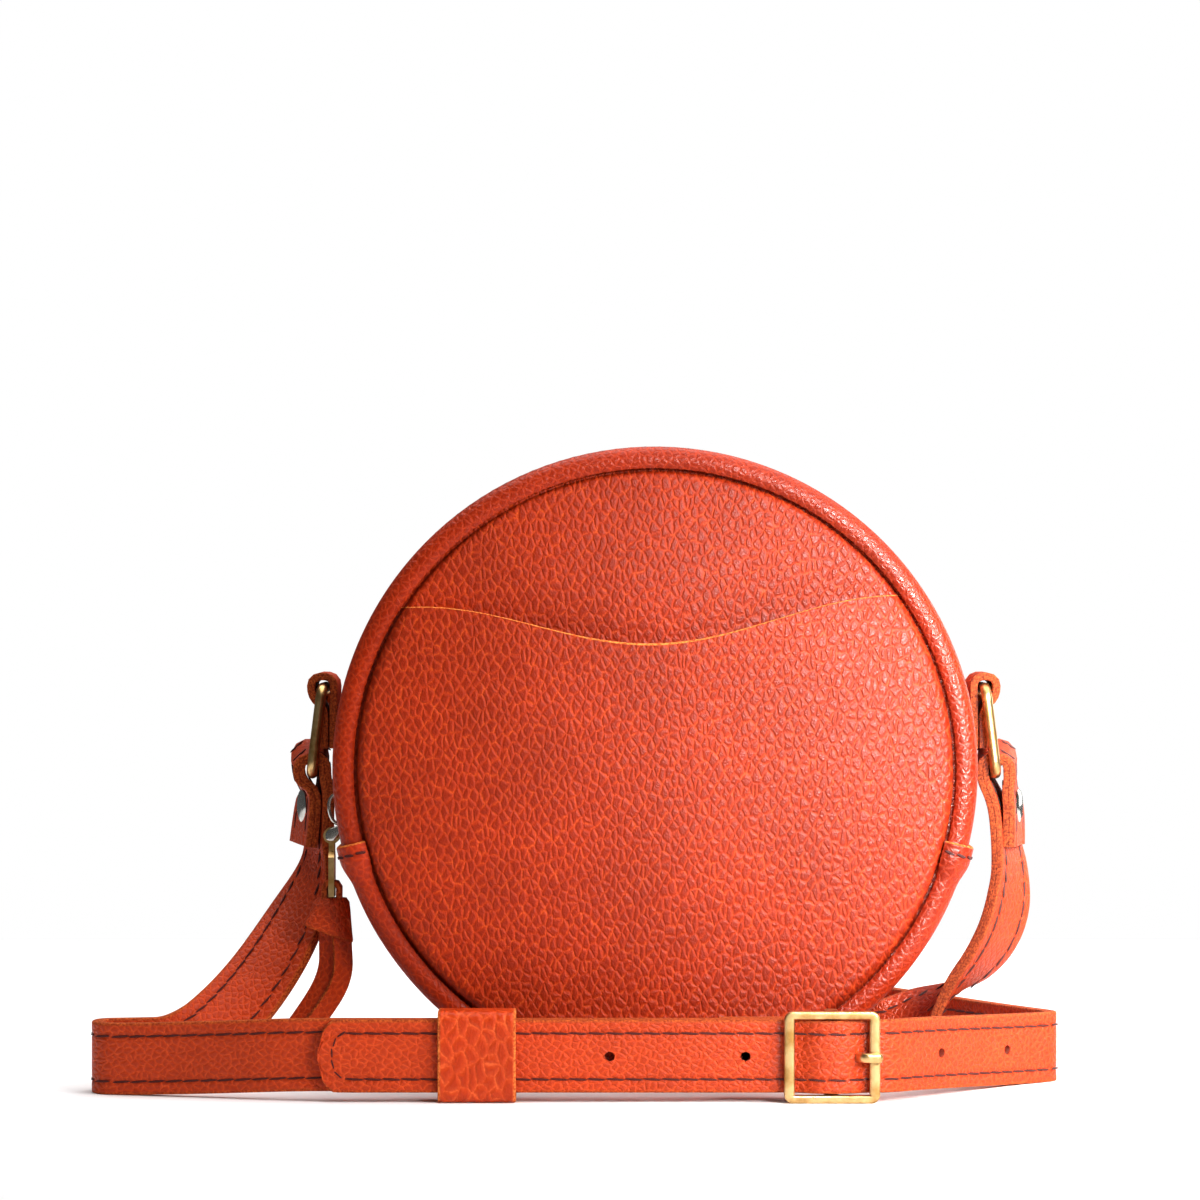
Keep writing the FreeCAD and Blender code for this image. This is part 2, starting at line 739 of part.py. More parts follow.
# shares of the knot's width and of its height, from its top down
KNOT_SHARES = [(0.34, 0.26, 0.0), (0.40, 0.28, 0.35), (0.47, 0.28, 0.8), (0.42, 0.24, 1.0)]
sway_share = 0.1
forward_share = 0.5
rings = []
for wide, deep, low in KNOT_SHARES:
    sway = knot_width * sway_share * low
    forward = lace_thickness * forward_share * low
    middle = vec(pin.x - sway, pin.y - forward, knot_top - knot_height * low)
    ellipse = Part.Ellipse(middle, knot_width * wide, knot_width * deep)
    rings.append(Part.Wire([ellipse.toShape()]))
knot = Part.makeLoft(rings, True, False)
tail_drop = mm("tail_drop")
knot_base = knot_top - knot_height
tails = []
# each tail: shares of the lace width across and of the tails' height down, and its depth share
TAIL_SHARES = [
    ([(0.5, -0.25), (0.6, 0.35), (-0.1, 0.65), (-1.4, 1.0)], -0.62),
    ([(-0.3, -0.25), (-0.25, 0.3), (-0.9, 0.62), (-2.1, 0.97)], 0.62),
]
for shares, depth_share in TAIL_SHARES:
    start = pin.y + depth_share * lace_thickness - lace_thickness / 2
    corners = [
        vec(pin.x + across * lace_width, start, knot_base - down * tail_drop)
        for across, down in shares
    ]
    bends = [0, lace_width * 2, lace_width * 3, 0]
    tails.append(band(rounded_path(corners, bends, back), lace_width, back * lace_thickness))
solid_piece("pull_lace", knot.fuse([loop] + tails))

# The ring tabs: a leather strip folded round each ring's top bar, both legs on the gusset.
axis_height = mm("axis_height")
ring_back = mm("ring_back")
strap_width = mm("strap_width")
tab_thickness = mm("tab_thickness")
tab_leg = mm("tab_leg")
tab_middle = mm("tab_inside + tab_thickness / 2")
bar_middle = mm("ring_out")
loop_radius = mm("ring_wire / 2 + bar_slack + tab_thickness / 2")
top_bar = axis_height + mm("ring_height")
tab_second = tab_middle + tab_thickness + mm("strap_gap")
for name, sign in (("left_tab", -1), ("right_tab", 1)):
    edge = ring_back - strap_width / 2
    corners = [
        vec(sign * tab_middle, edge, top_bar - tab_leg),
        vec(sign * tab_middle, edge, top_bar + loop_radius),
        vec(sign * (bar_middle + loop_radius), edge, top_bar + loop_radius),
        vec(sign * (bar_middle + loop_radius), edge, top_bar - loop_radius * 0.9),
        vec(sign * tab_second, edge, top_bar - loop_radius * 2.0),
        vec(sign * tab_second, edge, top_bar - tab_leg),
    ]
    bends = [0, loop_radius, loop_radius, tab_thickness * 0.75, tab_thickness * 0.75, 0]
    runs = rounded_path(corners, bends, back)
    solid_piece(name, band(runs, tab_thickness, back * strap_width))

# The rings: round wire bent to a rectangle, hung in the tabs and leaning out.
for name, sign in (("left_ring", "-"), ("right_ring", "")):
    body = new_body(name)
    path = outline(
        body,
        name + "_path",
        "YZ_Plane",
        [
            ("-(ring_half - ring_corner)", "0"),
            ("ring_half - ring_corner", "0"),
            ("ring_half", "-ring_corner"),
            ("ring_half", "ring_corner - ring_drop"),
            ("ring_half - ring_corner", "-ring_drop"),
            ("-(ring_half - ring_corner)", "-ring_drop"),
            ("-ring_half", "ring_corner - ring_drop"),
            ("-ring_half", "-ring_corner"),
        ],
        {
            1: ("ring_corner", -1),
            3: ("ring_corner", -1),
            5: ("ring_corner", -1),
            7: ("ring_corner", -1),
        },
    )
    wire = disc(body, name + "_wire", "XZ_Plane", "0", "0", "ring_wire / 2")
    pipe = body.newObject("PartDesign::AdditivePipe", name + "_bent")
    pipe.Profile = wire
    pipe.Spine = path
    lean = "ring_lean" if sign else "-ring_lean"
    place(body, sign + "ring_out", "ring_back", "axis_height + ring_height", lean)
    pieces.append(body)

def joined(shapes, seams):
    """Solids that meet in equal end faces made one: those faces are left out and the rest is sewn."""
    faces = []
    for shape in shapes:
        for face in shape.Faces:
            if min(face.CenterOfMass.distanceToPoint(seam) for seam in seams) > 1e-3:
                faces.append(face)
    skin = Part.Compound(faces)
    skin.sewShape()
    return Part.Solid(skin.Shells[0])


# The strap. Each part starts as a loop round a ring's bottom bar and ends on the floor.
strap_thickness = mm("strap_thickness")
strap_gap = mm("strap_gap")
run_height = mm("run_height")
lean = math.radians(mm("ring_lean"))
bar_x = bar_middle + mm("ring_drop") * math.sin(lean)
bar_z = top_bar - mm("ring_drop") * math.cos(lean)
loop_middle = mm("ring_wire / 2 + bar_slack + strap_thickness / 2")
inner_x = bar_x - loop_middle + strap_gap
outer_x = inner_x + strap_thickness + strap_gap
rivet_z = bar_z - mm("loop_fall")
tail_z = rivet_z - mm("loop_tail")
up = vec(0, 0, 1)


# shares of the strap's thickness: legs closed above the rivet, opened below the bar, bend between
LOOP_SHARES = {"throat": 0.25, "flare": 0.4, "bend": 0.6}


def ring_loop(sign):
    """The strap's end folded round a ring's bottom bar, drilled for its rivet."""
    edge = ring_back - strap_width / 2
    throat_z = rivet_z + mm("rivet_cap") / 2 + strap_thickness * LOOP_SHARES["throat"]
    flare_z = bar_z - strap_thickness * LOOP_SHARES["flare"]
    corners = [
        vec(sign * outer_x, edge, tail_z),
        vec(sign * outer_x, edge, throat_z),
        vec(sign * (bar_x + loop_middle), edge, flare_z),
        vec(sign * (bar_x + loop_middle), edge, bar_z + loop_middle),
        vec(sign * (bar_x - loop_middle), edge, bar_z + loop_middle),
        vec(sign * (bar_x - loop_middle), edge, flare_z),
        vec(sign * inner_x, edge, throat_z),
        vec(sign * inner_x, edge, tail_z),
    ]
    ease = strap_thickness * LOOP_SHARES["bend"]
    bends = [0, ease, ease, loop_middle, loop_middle, ease, ease, 0]
    shape = band(rounded_path(corners, bends, back), strap_thickness, back * strap_width)
    reach = strap_thickness * 4
    drill = Part.makeCylinder(
        mm("rivet_post + post_play") / 2,
        reach * 2,
        vec(sign * outer_x - reach, ring_back, rivet_z),
        vec(1, 0, 0),
    )
    return shape.cut(drill)


def twist(start, end, heading, pull, bulge):
    """The strap between a ring and the floor: a cubic path, its width turning from level to upright."""
    stations = 11
    wires = []
    down = vec(0, 0, -1)
    for index in range(stations):
        t = index / (stations - 1)
        point = (
            start * (2 * t ** 3 - 3 * t ** 2 + 1)
            + down * pull[0] * (t ** 3 - 2 * t ** 2 + t)
            + end * (3 * t ** 2 - 2 * t ** 3)
            + heading * pull[1] * (t ** 3 - t ** 2)
        )
        ahead = (
            (end - start) * (6 * t - 6 * t ** 2)
            + down * pull[0] * (3 * t ** 2 - 4 * t + 1)
            + heading * pull[1] * (3 * t ** 2 - 2 * t)
        )
        ahead.normalize()
        ease = t * t * (3 - 2 * t)
        width = back * (1 - ease) + up * ease + vec(bulge * 4 * ease * (1 - ease), 0, 0)
        width = (width - ahead * width.dot(ahead)).normalize()
        face = ahead.cross(width)
        side = width * (strap_width / 2)
        skin = face * (strap_thickness / 2)
        corners = [point + side + skin, point + side - skin, point - side - skin, point - side + skin]
        wires.append(Part.makePolygon(corners + corners[:1]))
    return Part.makeLoft(wires, True, False)


def elevation(low_points, left, right):
    """The strap seen from the front: a slab whose lower edge follows (x, height) points."""
    lower = [vec(left, 0, low_points[0][1])] + [vec(x, 0, z) for x, z in low_points]
    lower.append(vec(right, 0, low_points[-1][1]))
    upper = [point + up * strap_width for point in reversed(lower)]
    reach = mm("bag_depth") * 4
    polygon = Part.makePolygon(lower + upper + lower[:1])
    slab = Part.Face(polygon).extrude(back * reach * 2)
    slab.translate(back * -reach)
    return slab


front_y = -mm("front_reach")
second_y = front_y + strap_thickness + strap_gap
third_y = second_y + strap_thickness + strap_gap
bar_at = mm("buckle_right")
bow = mm("bow_rise")
centre_bar = mm("centre_bar")
fold_middle = centre_bar / 2 + mm("bar_slack") / 2 + strap_thickness / 2
bar_y = second_y - bow + fold_middle
bag_radius = mm("bag_radius")
bag_depth = mm("bag_depth")
fold_radius = mm("fold_radius")
window = mm("buckle_length") / 2 - mm("buckle_bar")
tall = run_height + strap_width

# Short part: fold round the centre bar, front run, fold at the far left, then up to the left ring.
fold_far = bar_at - mm("fold_length")
# shares of the window for the bow over the bar, of the bag's radius to the left, of its depth forward
BOW_SHARES = {"rise": 0.7, "top": 0.3, "over_rise": 0.85, "over_top": 0.38, "over": 1.03, "back": 1.3}
LEFT_SHARES = {"turn": 1.07, "fold": 1.70, "land": 1.55, "ramp": 1.50}
LEFT_DEPTH_SHARES = {"fold": 0.60, "land": 0.365}
fold_x = -bag_radius * LEFT_SHARES["fold"]
fold_y = -bag_depth * LEFT_DEPTH_SHARES["fold"]
lean_share = 0.2
left_corners = [
    vec(fold_far, third_y, 0),
    vec(bar_at - window * BOW_SHARES["back"], third_y, 0),
    vec(bar_at - window * BOW_SHARES["top"], bar_y + fold_middle, 0),
    vec(bar_at + fold_middle, bar_y + fold_middle, 0),
    vec(bar_at + fold_middle, bar_y - fold_middle, 0),
    vec(bar_at - window * BOW_SHARES["top"], bar_y - fold_middle, 0),
    vec(bar_at - window * BOW_SHARES["rise"], second_y, 0),
    vec(-bag_radius * LEFT_SHARES["turn"], second_y, 0),
    vec(fold_x, fold_y, 0),
    vec(fold_x - fold_radius * lean_share, fold_y + fold_radius * 2, 0),
    vec(-bag_radius * LEFT_SHARES["land"], -bag_depth * LEFT_DEPTH_SHARES["land"], 0),
]
ease = strap_thickness * 2
left_bends = [0, ease, ease, fold_middle, fold_middle, ease, ease]
left_bends += [bag_radius, fold_radius, fold_radius, 0]
left_runs = rounded_path(left_corners, left_bends, up)
left_end = left_runs[-1][0][2]
left_heading = (left_corners[-2] - left_corners[-1]).normalize()
flat_part = band(left_runs, strap_thickness, up * tall)
ramp = [(-bag_radius * LEFT_SHARES["ramp"], 0), (-bag_radius * LEFT_SHARES["turn"], run_height)]
flat_part = flat_part.common(elevation(ramp, -bag_radius * 3, bag_radius * 3))
middle_z = run_height + strap_width / 2
slot_share = 2.2
slot_height = mm("prong_width") * slot_share
slot_reach = window * BOW_SHARES["over_rise"]
slot = Part.makeBox(
    slot_reach * 2,
    fold_middle * 4,
    slot_height,
    vec(bar_at - slot_reach, bar_y - fold_middle * 2, middle_z - slot_height / 2),
)
rivet_share = 0.25
rivet_x = fold_far + mm("fold_length") * rivet_share
post = Part.makeCylinder(
    mm("rivet_post + post_play") / 2,
    strap_thickness * 4,
    vec(rivet_x, second_y - strap_thickness, middle_z),
    back,
)
flat_part = flat_part.cut([slot, post])
# shares of the strap's width that the hanging part is pulled along at its ends, and its bulge
LEFT_PULL_SHARES = (2.2, 3.4)
LEFT_BULGE_SHARE = -1.0
RIGHT_PULL_SHARES = (4.2, 2.4)
RIGHT_BULGE_SHARE = 0.4
left_start = vec(-inner_x, ring_back, tail_z)
left_landing = left_end + up * (strap_width / 2)
left_twist = twist(
    left_start,
    left_landing,
    left_heading,
    [strap_width * share for share in LEFT_PULL_SHARES],
    LEFT_BULGE_SHARE,
)
short_strap = joined([ring_loop(-1), left_twist, flat_part], [left_start, left_landing])
solid_piece("strap_buckle_part", short_strap)

# Long part: tip, front run through the buckle, fold at the right, folded hank behind, then the right ring.
hank = mm("hank_reach")
pitch = mm("hank_pitch")
first_y = bag_depth / 2 + mm("hank_clear")
half_pitch = pitch / 2
# shares of the bag's radius to the right, of its depth, of the strap's thickness and of its width
RIGHT_SHARES = {"loop": 1.25, "behind": 0.76, "lift": 0.55, "land": 0.74, "ramp": 1.12}
RIGHT_DEPTH_SHARES = {"loop": 0.02, "land": 0.45}
RIGHT_BEND_SHARES = {"loop": 0.4, "behind": 0.8, "lift": 0.6}
clear_share = 1.6
ramp_share = 1.8
over_y = front_y - bow * BOW_SHARES["over"]
right_corners = [
    vec(-mm("tip_reach"), front_y, 0),
    vec(bar_at - window * BOW_SHARES["over_rise"], front_y, 0),
    vec(bar_at - window * BOW_SHARES["over_top"], over_y, 0),
    vec(bar_at + window * BOW_SHARES["over_top"], over_y, 0),
    vec(bar_at + window * BOW_SHARES["over_rise"], front_y, 0),
    vec(bar_at + window + strap_thickness * clear_share, front_y, 0),
    vec(bag_radius * RIGHT_SHARES["loop"], -bag_depth * RIGHT_DEPTH_SHARES["loop"], 0),
]
right_bends = [0, ease, ease, ease, ease, ease, strap_width * RIGHT_BEND_SHARES["loop"]]
behind = vec(bag_radius * RIGHT_SHARES["behind"], first_y + 3 * pitch, 0)
aim = (behind - right_corners[-1]).normalize()
beyond = right_corners[-1] + aim * strap_width
front_runs = rounded_path(right_corners + [beyond], right_bends + [0], up)[:-1]
back_corners = [
    front_runs[-1][0][2],
    behind,
    vec(-hank - half_pitch, first_y + 3 * pitch, 0),
    vec(-hank - half_pitch, first_y + 2 * pitch, 0),
    vec(hank + half_pitch, first_y + 2 * pitch, 0),
    vec(hank + half_pitch, first_y + pitch, 0),
    vec(-hank - half_pitch, first_y + pitch, 0),
    vec(-hank - half_pitch, first_y, 0),
    vec(bag_radius * RIGHT_SHARES["lift"], first_y, 0),
    vec(bag_radius * RIGHT_SHARES["land"], bag_depth * RIGHT_DEPTH_SHARES["land"], 0),
]
back_bends = [0, strap_width * RIGHT_BEND_SHARES["behind"]] + [half_pitch] * 6
back_bends += [strap_width * RIGHT_BEND_SHARES["lift"], 0]
back_runs = rounded_path(back_corners, back_bends, up)
right_end = back_runs[-1][0][2]
right_heading = (back_corners[-2] - back_corners[-1]).normalize()
front_part = band(front_runs, strap_thickness, up * tall)
ramp = [(bar_at + window * ramp_share, run_height), (bag_radius * RIGHT_SHARES["ramp"], 0)]
slab = elevation(ramp, -mm("tip_reach"), bag_radius * 3)
tip_edges = [
    edge
    for edge in slab.Edges
    if abs(edge.CenterOfMass.x + mm("tip_reach")) < 1e-3
    and abs(edge.tangentAt(edge.FirstParameter).dot(back)) > 0.999
]
slab = slab.makeFillet(mm("tip_round"), tip_edges)
front_part = front_part.common(slab)
back_part = band(back_runs, strap_thickness, up * strap_width)
right_start = vec(inner_x, ring_back, tail_z)
right_landing = right_end + up * (strap_width / 2)
right_twist = twist(
    right_start,
    right_landing,
    right_heading,
    [strap_width * share for share in RIGHT_PULL_SHARES],
    RIGHT_BULGE_SHARE,
)
hole_share = 0.64
hole_half_share = 0.25
prong_hole = bar_at + window * hole_share
to_prong = mm("tip_reach") + prong_hole
drills = []
for step in (-2, -1, 1, 2):
    point, normal = along(front_runs, to_prong + step * mm("hole_pitch"))
    fall = max(0, min(1, (point.x - ramp[0][0]) / (ramp[1][0] - ramp[0][0])))
    start = point - normal * (strap_thickness * 2) + up * (middle_z - run_height * fall)
    drills.append(Part.makeCylinder(mm("hole_diameter") / 2, strap_thickness * 4, start, normal))
drills.append(
    Part.makeBox(
        window * hole_half_share * 2,
        strap_thickness * 4,
        mm("prong_width") + mm("rail_play") * 2,
        vec(
            prong_hole - window * hole_half_share,
            front_y - bow - strap_thickness,
            middle_z - mm("prong_width") / 2 - mm("rail_play"),
        ),
    )
)
front_part = front_part.cut(drills)
half_way = front_runs[-1][0][2] + up * (strap_width / 2)
long_strap = joined(
    [ring_loop(1), right_twist, back_part, front_part],
    [right_start, right_landing, half_way],
)
solid_piece("strap_holed_part", long_strap)

slack_share = 1.08
twist_length = (left_landing - left_start).Length * slack_share
short_length = sum(map(run_length, left_runs)) - mm("fold_length") + twist_length
twist_length = (right_landing - right_start).Length * slack_share
long_length = sum(map(run_length, front_runs + back_runs)) + twist_length
print("short strap part", round(short_length), "long strap part", round(long_length))
print("strap, ring to ring as buckled", round(short_length + long_length - to_prong))

# A rivet through each strap end: cap, post, cap.
for name, sign in (("left_strap_rivet", -1), ("right_strap_rivet", 1)):
    body = new_body(name)
    sketch = outline(
        body,
        name + "_section",
        "XY_Plane",
        [
            ("-(strap_thickness + strap_gap / 2 + rivet_height)", "0"),
            ("-(strap_thickness + strap_gap / 2 + rivet_height)", "rivet_cap * 0.36"),
            ("-(strap_thickness + strap_gap / 2 + post_play)", "rivet_cap / 2"),
            ("-(strap_thickness + strap_gap / 2 + post_play)", "rivet_post / 2"),
            ("strap_thickness + strap_gap / 2 + post_play", "rivet_post / 2"),
            ("strap_thickness + strap_gap / 2 + post_play", "rivet_cap / 2"),
            ("strap_thickness + strap_gap / 2 + rivet_height", "rivet_cap * 0.36"),
            ("strap_thickness + strap_gap / 2 + rivet_height", "0"),
        ],
    )
    revolve(body, sketch)
    middle = sign * (inner_x + outer_x) / 2
    body.Placement = FreeCAD.Placement(vec(middle, ring_back, rivet_z), FreeCAD.Rotation())
    pieces.append(body)

# The buckle: frame, window, two lugs back to the centre bar.
body = new_body("buckle_frame")
half_height = "(strap_width / 2 + rail_play + buckle_rail)"
sketch = outline(
    body,
    "frame_outside",
    "XZ_Plane",
    box_corners("-buckle_length / 2", "buckle_length / 2", "-" + half_height, half_height),
)
base = pad(body, sketch, "buckle_depth")
document.recompute()
base = fillet(body, base, edges_along(base.Shape, back), "buckle_bar * 0.8")
sketch = outline(
    body,
    "frame_window",
    "XZ_Plane",
    box_corners(
        "-(buckle_length / 2 - buckle_bar)",
        "buckle_length / 2 - buckle_bar",
        "-(strap_width / 2 + rail_play)",
        "strap_width / 2 + rail_play",
    ),
)
pocket(body, sketch, "buckle_depth + overrun")
frame_y = front_y - strap_thickness / 2 - strap_gap - mm("buckle_depth") / 2
stack = "strap_thickness * 2 + strap_gap * 2 - bow_rise"
set_back = "(" + stack + " + bar_slack / 2 + centre_bar / 2 + buckle_depth / 2)"
for name, low, high in (
    ("lug_top", "strap_width / 2 + rail_play", half_height),
    ("lug_bottom", "-" + half_height, "-(strap_width / 2 + rail_play)"),
):
    sketch = outline(
        body, name, "YZ_Plane", box_corners("0", set_back + " + centre_bar / 2", low, high)
    )
    pad(body, sketch, "centre_bar * 1.3")
sketch = disc(body, "centre_bar_section", "XY_Plane", "0", set_back, "centre_bar / 2")
pad(body, sketch, "strap_width + rail_play * 2 + buckle_rail")
body.Placement = FreeCAD.Placement(vec(bar_at, frame_y, middle_z), FreeCAD.Rotation())
pieces.append(body)

# The prong turns on the centre bar, passes through the strap and rests on the far end bar.
prong_width = mm("prong_width")
eye_outside = centre_bar / 2 + mm("post_play") + prong_width * 0.6
tip_y = frame_y - mm("buckle_depth") / 2 - mm("bar_slack") / 2 - prong_width / 2
drop = bar_y - tip_y
PRONG_SHARES = [(0.0, 0.0), (0.42, 0.14), (0.68, 0.62), (0.84, 1.0), (1.36, 1.0)]
corners = [vec(bar_at + window * x, bar_y - drop * y, 0) for x, y in PRONG_SHARES]
bends = [0, prong_width, prong_width, prong_width * 0.8, 0]
shank = band(rounded_path(corners, bends, up), prong_width, up * prong_width)
shank.translate(up * (middle_z - prong_width / 2))
low = vec(bar_at, bar_y, middle_z - prong_width * 0.75)
eye = Part.makeCylinder(eye_outside, prong_width * 1.5, low, up)
bore = Part.makeCylinder(centre_bar / 2 + mm("post_play"), prong_width * 3, low - up * prong_width, up)
solid_piece("buckle_prong", eye.fuse(shank).cut(bore).removeSplitter())

# The rivet that holds the fold: flush in front, capped behind.
body = new_body("buckle_rivet")
sketch = outline(
    body,
    "fold_rivet_section",
    "XY_Plane",
    [
        ("0", "-strap_thickness / 2"),
        ("rivet_post / 2", "-strap_thickness / 2"),
        ("rivet_post / 2", "strap_thickness * 1.5 + strap_gap + post_play"),
        ("rivet_post * 1.2", "strap_thickness * 1.5 + strap_gap + post_play"),
        ("rivet_post * 0.9", "strap_thickness * 1.5 + strap_gap + rivet_height"),
        ("0", "strap_thickness * 1.5 + strap_gap + rivet_height"),
    ],
)
revolve(body, sketch, axis="V_Axis")
middle = vec(rivet_x, second_y, middle_z)
body.Placement = FreeCAD.Placement(middle, FreeCAD.Rotation())
pieces.append(body)

# The keeper: a leather loop round both strap layers, free to slide along them.
body = new_body("strap_keeper")
HALF_STACK = "(strap_thickness + strap_gap / 2 + rail_play)"
sketch = outline(
    body,
    "keeper_outside",
    "YZ_Plane",
    box_corners(
        "-(%s + keeper_thickness)" % HALF_STACK,
        HALF_STACK + " + keeper_thickness",
        "-(strap_width / 2 + rail_play + keeper_thickness)",
        "strap_width / 2 + rail_play + keeper_thickness",
    ),
)
base = pad(body, sketch, "keeper_length")
document.recompute()
base = fillet(body, base, edges_along(base.Shape, vec(1, 0, 0)), "keeper_thickness * 0.8")
sketch = outline(
    body,
    "keeper_inside",
    "YZ_Plane",
    box_corners(
        "-" + HALF_STACK, HALF_STACK, "-(strap_width / 2 + rail_play)", "strap_width / 2 + rail_play"
    ),
)
pocket(body, sketch, "keeper_length + overrun")
middle = vec(-mm("keeper_left"), (front_y + second_y) / 2, middle_z)
body.Placement = FreeCAD.Placement(middle, FreeCAD.Rotation())
pieces.append(body)

document.recompute()
for item in document.Objects:
    if "Invalid" in item.State or "Error" in item.State:
        raise RuntimeError(f"{item.Name} did not build: {item.State}")
os.makedirs("parts", exist_ok=True)
for piece in pieces:
    shape = piece.Shape
    if shape.isNull() or not shape.isValid() or not shape.Solids:
        raise RuntimeError(f"{piece.Label} has no valid solid")
    shape.exportStep(f"parts/{piece.Label}.step")
    box = shape.BoundBox
    print(
        f"{piece.Label:20s} solids {len(shape.Solids):3d} volume {shape.Volume:9.1f}"
        f"  x {box.XMin:7.1f} {box.XMax:7.1f}  y {box.YMin:6.1f} {box.YMax:6.1f}"
        f"  z {box.ZMin:6.1f} {box.ZMax:6.1f}"
    )
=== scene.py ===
# %% [markdown]
# # Dressing a round leather crossbody bag
# The bag's solids come from a CAD program: panels, gussets, strap, rings and buckle, in metres, with
# the joints that move them. This script makes every leather and fabric piece again as a softer surface,
# and also the small metal parts whose rounded edges catch the light. The other metal parts keep their
# solids. Each surface is a formula worked out on a whole numpy grid: leather that bends in one sweep is
# easier to describe by a formula than to push about point by point.

# %% Load the solids
import bpy
import numpy as np
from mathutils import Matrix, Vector


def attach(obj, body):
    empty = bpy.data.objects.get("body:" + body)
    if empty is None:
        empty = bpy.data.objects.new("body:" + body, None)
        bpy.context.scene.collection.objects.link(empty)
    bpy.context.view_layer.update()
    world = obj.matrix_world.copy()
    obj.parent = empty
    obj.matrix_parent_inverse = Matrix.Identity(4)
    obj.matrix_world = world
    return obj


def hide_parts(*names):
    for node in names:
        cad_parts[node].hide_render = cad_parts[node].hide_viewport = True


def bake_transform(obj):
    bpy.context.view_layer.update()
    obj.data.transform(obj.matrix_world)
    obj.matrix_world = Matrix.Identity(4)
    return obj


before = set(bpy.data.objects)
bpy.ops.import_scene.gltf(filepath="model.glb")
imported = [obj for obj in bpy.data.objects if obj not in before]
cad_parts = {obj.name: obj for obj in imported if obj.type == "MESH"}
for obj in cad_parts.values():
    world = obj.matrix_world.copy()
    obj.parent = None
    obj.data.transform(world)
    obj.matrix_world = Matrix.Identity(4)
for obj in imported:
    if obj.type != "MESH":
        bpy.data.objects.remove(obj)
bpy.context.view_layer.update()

# %% [markdown]
# ## Camera and light
# The bag is seen from the front through a long lens, level with its upper half, so the upright lines stay
# upright. A view gamma a little under one deepens the middle tones, as in a print with strong contrast.
#
# Soft boxes on the right light the leather and leave the left side dark. A large one above brightens the
# top of the rim and turns the floor white. Two lamps are split: the fill lights the colour and makes no
# reflection, and the sheen is seen only as a reflection. One lamp could do both, but then a small bright
# sheen would bleach the colour under it.

# %% Camera
SENSOR_MM = 36.0
LENS_MM = 131.4
CAMERA_AT = (-0.01515, -1.232, 0.1348)
LEVEL = (np.pi / 2, 0, 0)
GAMMA = 0.88
camera = bpy.data.objects.new("camera", bpy.data.cameras.new("camera"))
camera.data.sensor_width = SENSOR_MM
camera.data.lens = LENS_MM
camera.location = CAMERA_AT
camera.rotation_euler = LEVEL
bpy.context.scene.collection.objects.link(camera)
bpy.context.scene.camera = camera
bpy.context.scene.view_settings.view_transform = "Standard"
bpy.context.scene.view_settings.gamma = GAMMA
print("camera at", tuple(camera.location))


# %% Colours and nodes
def linear(code):
    """An sRGB hex colour as linear RGBA: ((c + 0.055) / 1.055) ** 2.4, or c / 12.92 where c is small."""
    c = np.array([int(code[i:i + 2], 16) for i in (1, 3, 5)]) / 255
    return (*np.where(c > 0.04045, ((c + 0.055) / 1.055) ** 2.4, c / 12.92), 1.0)


def plug(tree, node, inputs):
    """Give each named input of a node a value, or an output to link to."""
    for key, value in inputs.items():
        if isinstance(value, bpy.types.NodeSocket):
            tree.links.new(value, node.inputs[key])
        else:
            node.inputs[key].default_value = value


def add(tree, kind, inputs=None, **settings):
    """Add a node. Settings are its properties; inputs are plugged in as above."""
    node = tree.nodes.new("ShaderNode" + kind)
    for key, value in settings.items():
        setattr(node, key, value)
    plug(tree, node, inputs or {})
    return node


def tones(tree, factor, *stops):
    """A colour ramp: stops are (position, hex colour) in rising order of position."""
    node = add(tree, "ValToRGB", {0: factor})
    elements = node.color_ramp.elements
    for element, (position, code) in zip(list(elements), (stops[0], stops[-1])):
        element.position, element.color = position, linear(code)
    for position, code in stops[1:-1]:
        elements.new(position).color = linear(code)
    return node.outputs[0]


def blank(name):
    """A new material, its node tree and its shader."""
    material = bpy.data.materials.new(name)
    material.use_nodes = True
    return material, material.node_tree, material.node_tree.nodes["Principled BSDF"]


# %% Lights
def soft_box(name, place, size, watts, aim, spread=180.0, colour=True, gloss=True):
    """A square lamp; spread is the angle of the grid in front of it, in degrees. With colour off it
    shows only as a reflection, and with gloss off it lights the colour alone."""
    lamp = bpy.data.lights.new(name, "AREA")
    lamp.energy = watts
    lamp.size = size
    lamp.spread = np.radians(spread)
    item = bpy.data.objects.new(name, lamp)
    item.visible_diffuse, item.visible_glossy = colour, gloss
    item.location = place
    item.rotation_euler = (Vector(aim) - Vector(place)).to_track_quat("-Z", "Y").to_euler()
    bpy.context.scene.collection.objects.link(item)


soft_box("key_right", (0.40, -0.26, 0.30), 0.26, 0.36, (0.12, -0.03, 0.08), 56.0)
soft_box("fill_right", (0.42, -0.62, 0.30), 0.24, 0.52, (0.14, -0.03, 0.11), 40.0, gloss=False)
soft_box("sheen_right", (0.25, -0.60, 0.29), 0.14, 0.84, (0.13, -0.03, 0.11), 27.0, colour=False)
soft_box("top", (0.16, 0.22, 1.0), 1.5, 20.0, (0.05, 0.15, 0.0))
soft_box("rim_right", (0.55, 0.50, 0.25), 0.4, 2.0, (0.0, 0.0, 0.08))

# The camera sees plain white, while the bag is lit by a small share of it.
AMBIENT = 0.12
world = bpy.data.worlds.new("studio")
bpy.context.scene.world = world
world.use_nodes = True
sky = world.node_tree
seen = add(sky, "LightPath").outputs["Is Camera Ray"]
glow = add(sky, "MapRange", {"Value": seen, 1: 0.0, 2: 1.0, 3: AMBIENT, 4: 1.0})
plug(sky, sky.nodes["Background"], {"Strength": glow.outputs[0], "Color": linear("#ffffff")})
print("lamps:", len(bpy.data.lights), "and a share of", AMBIENT, "from the sky")

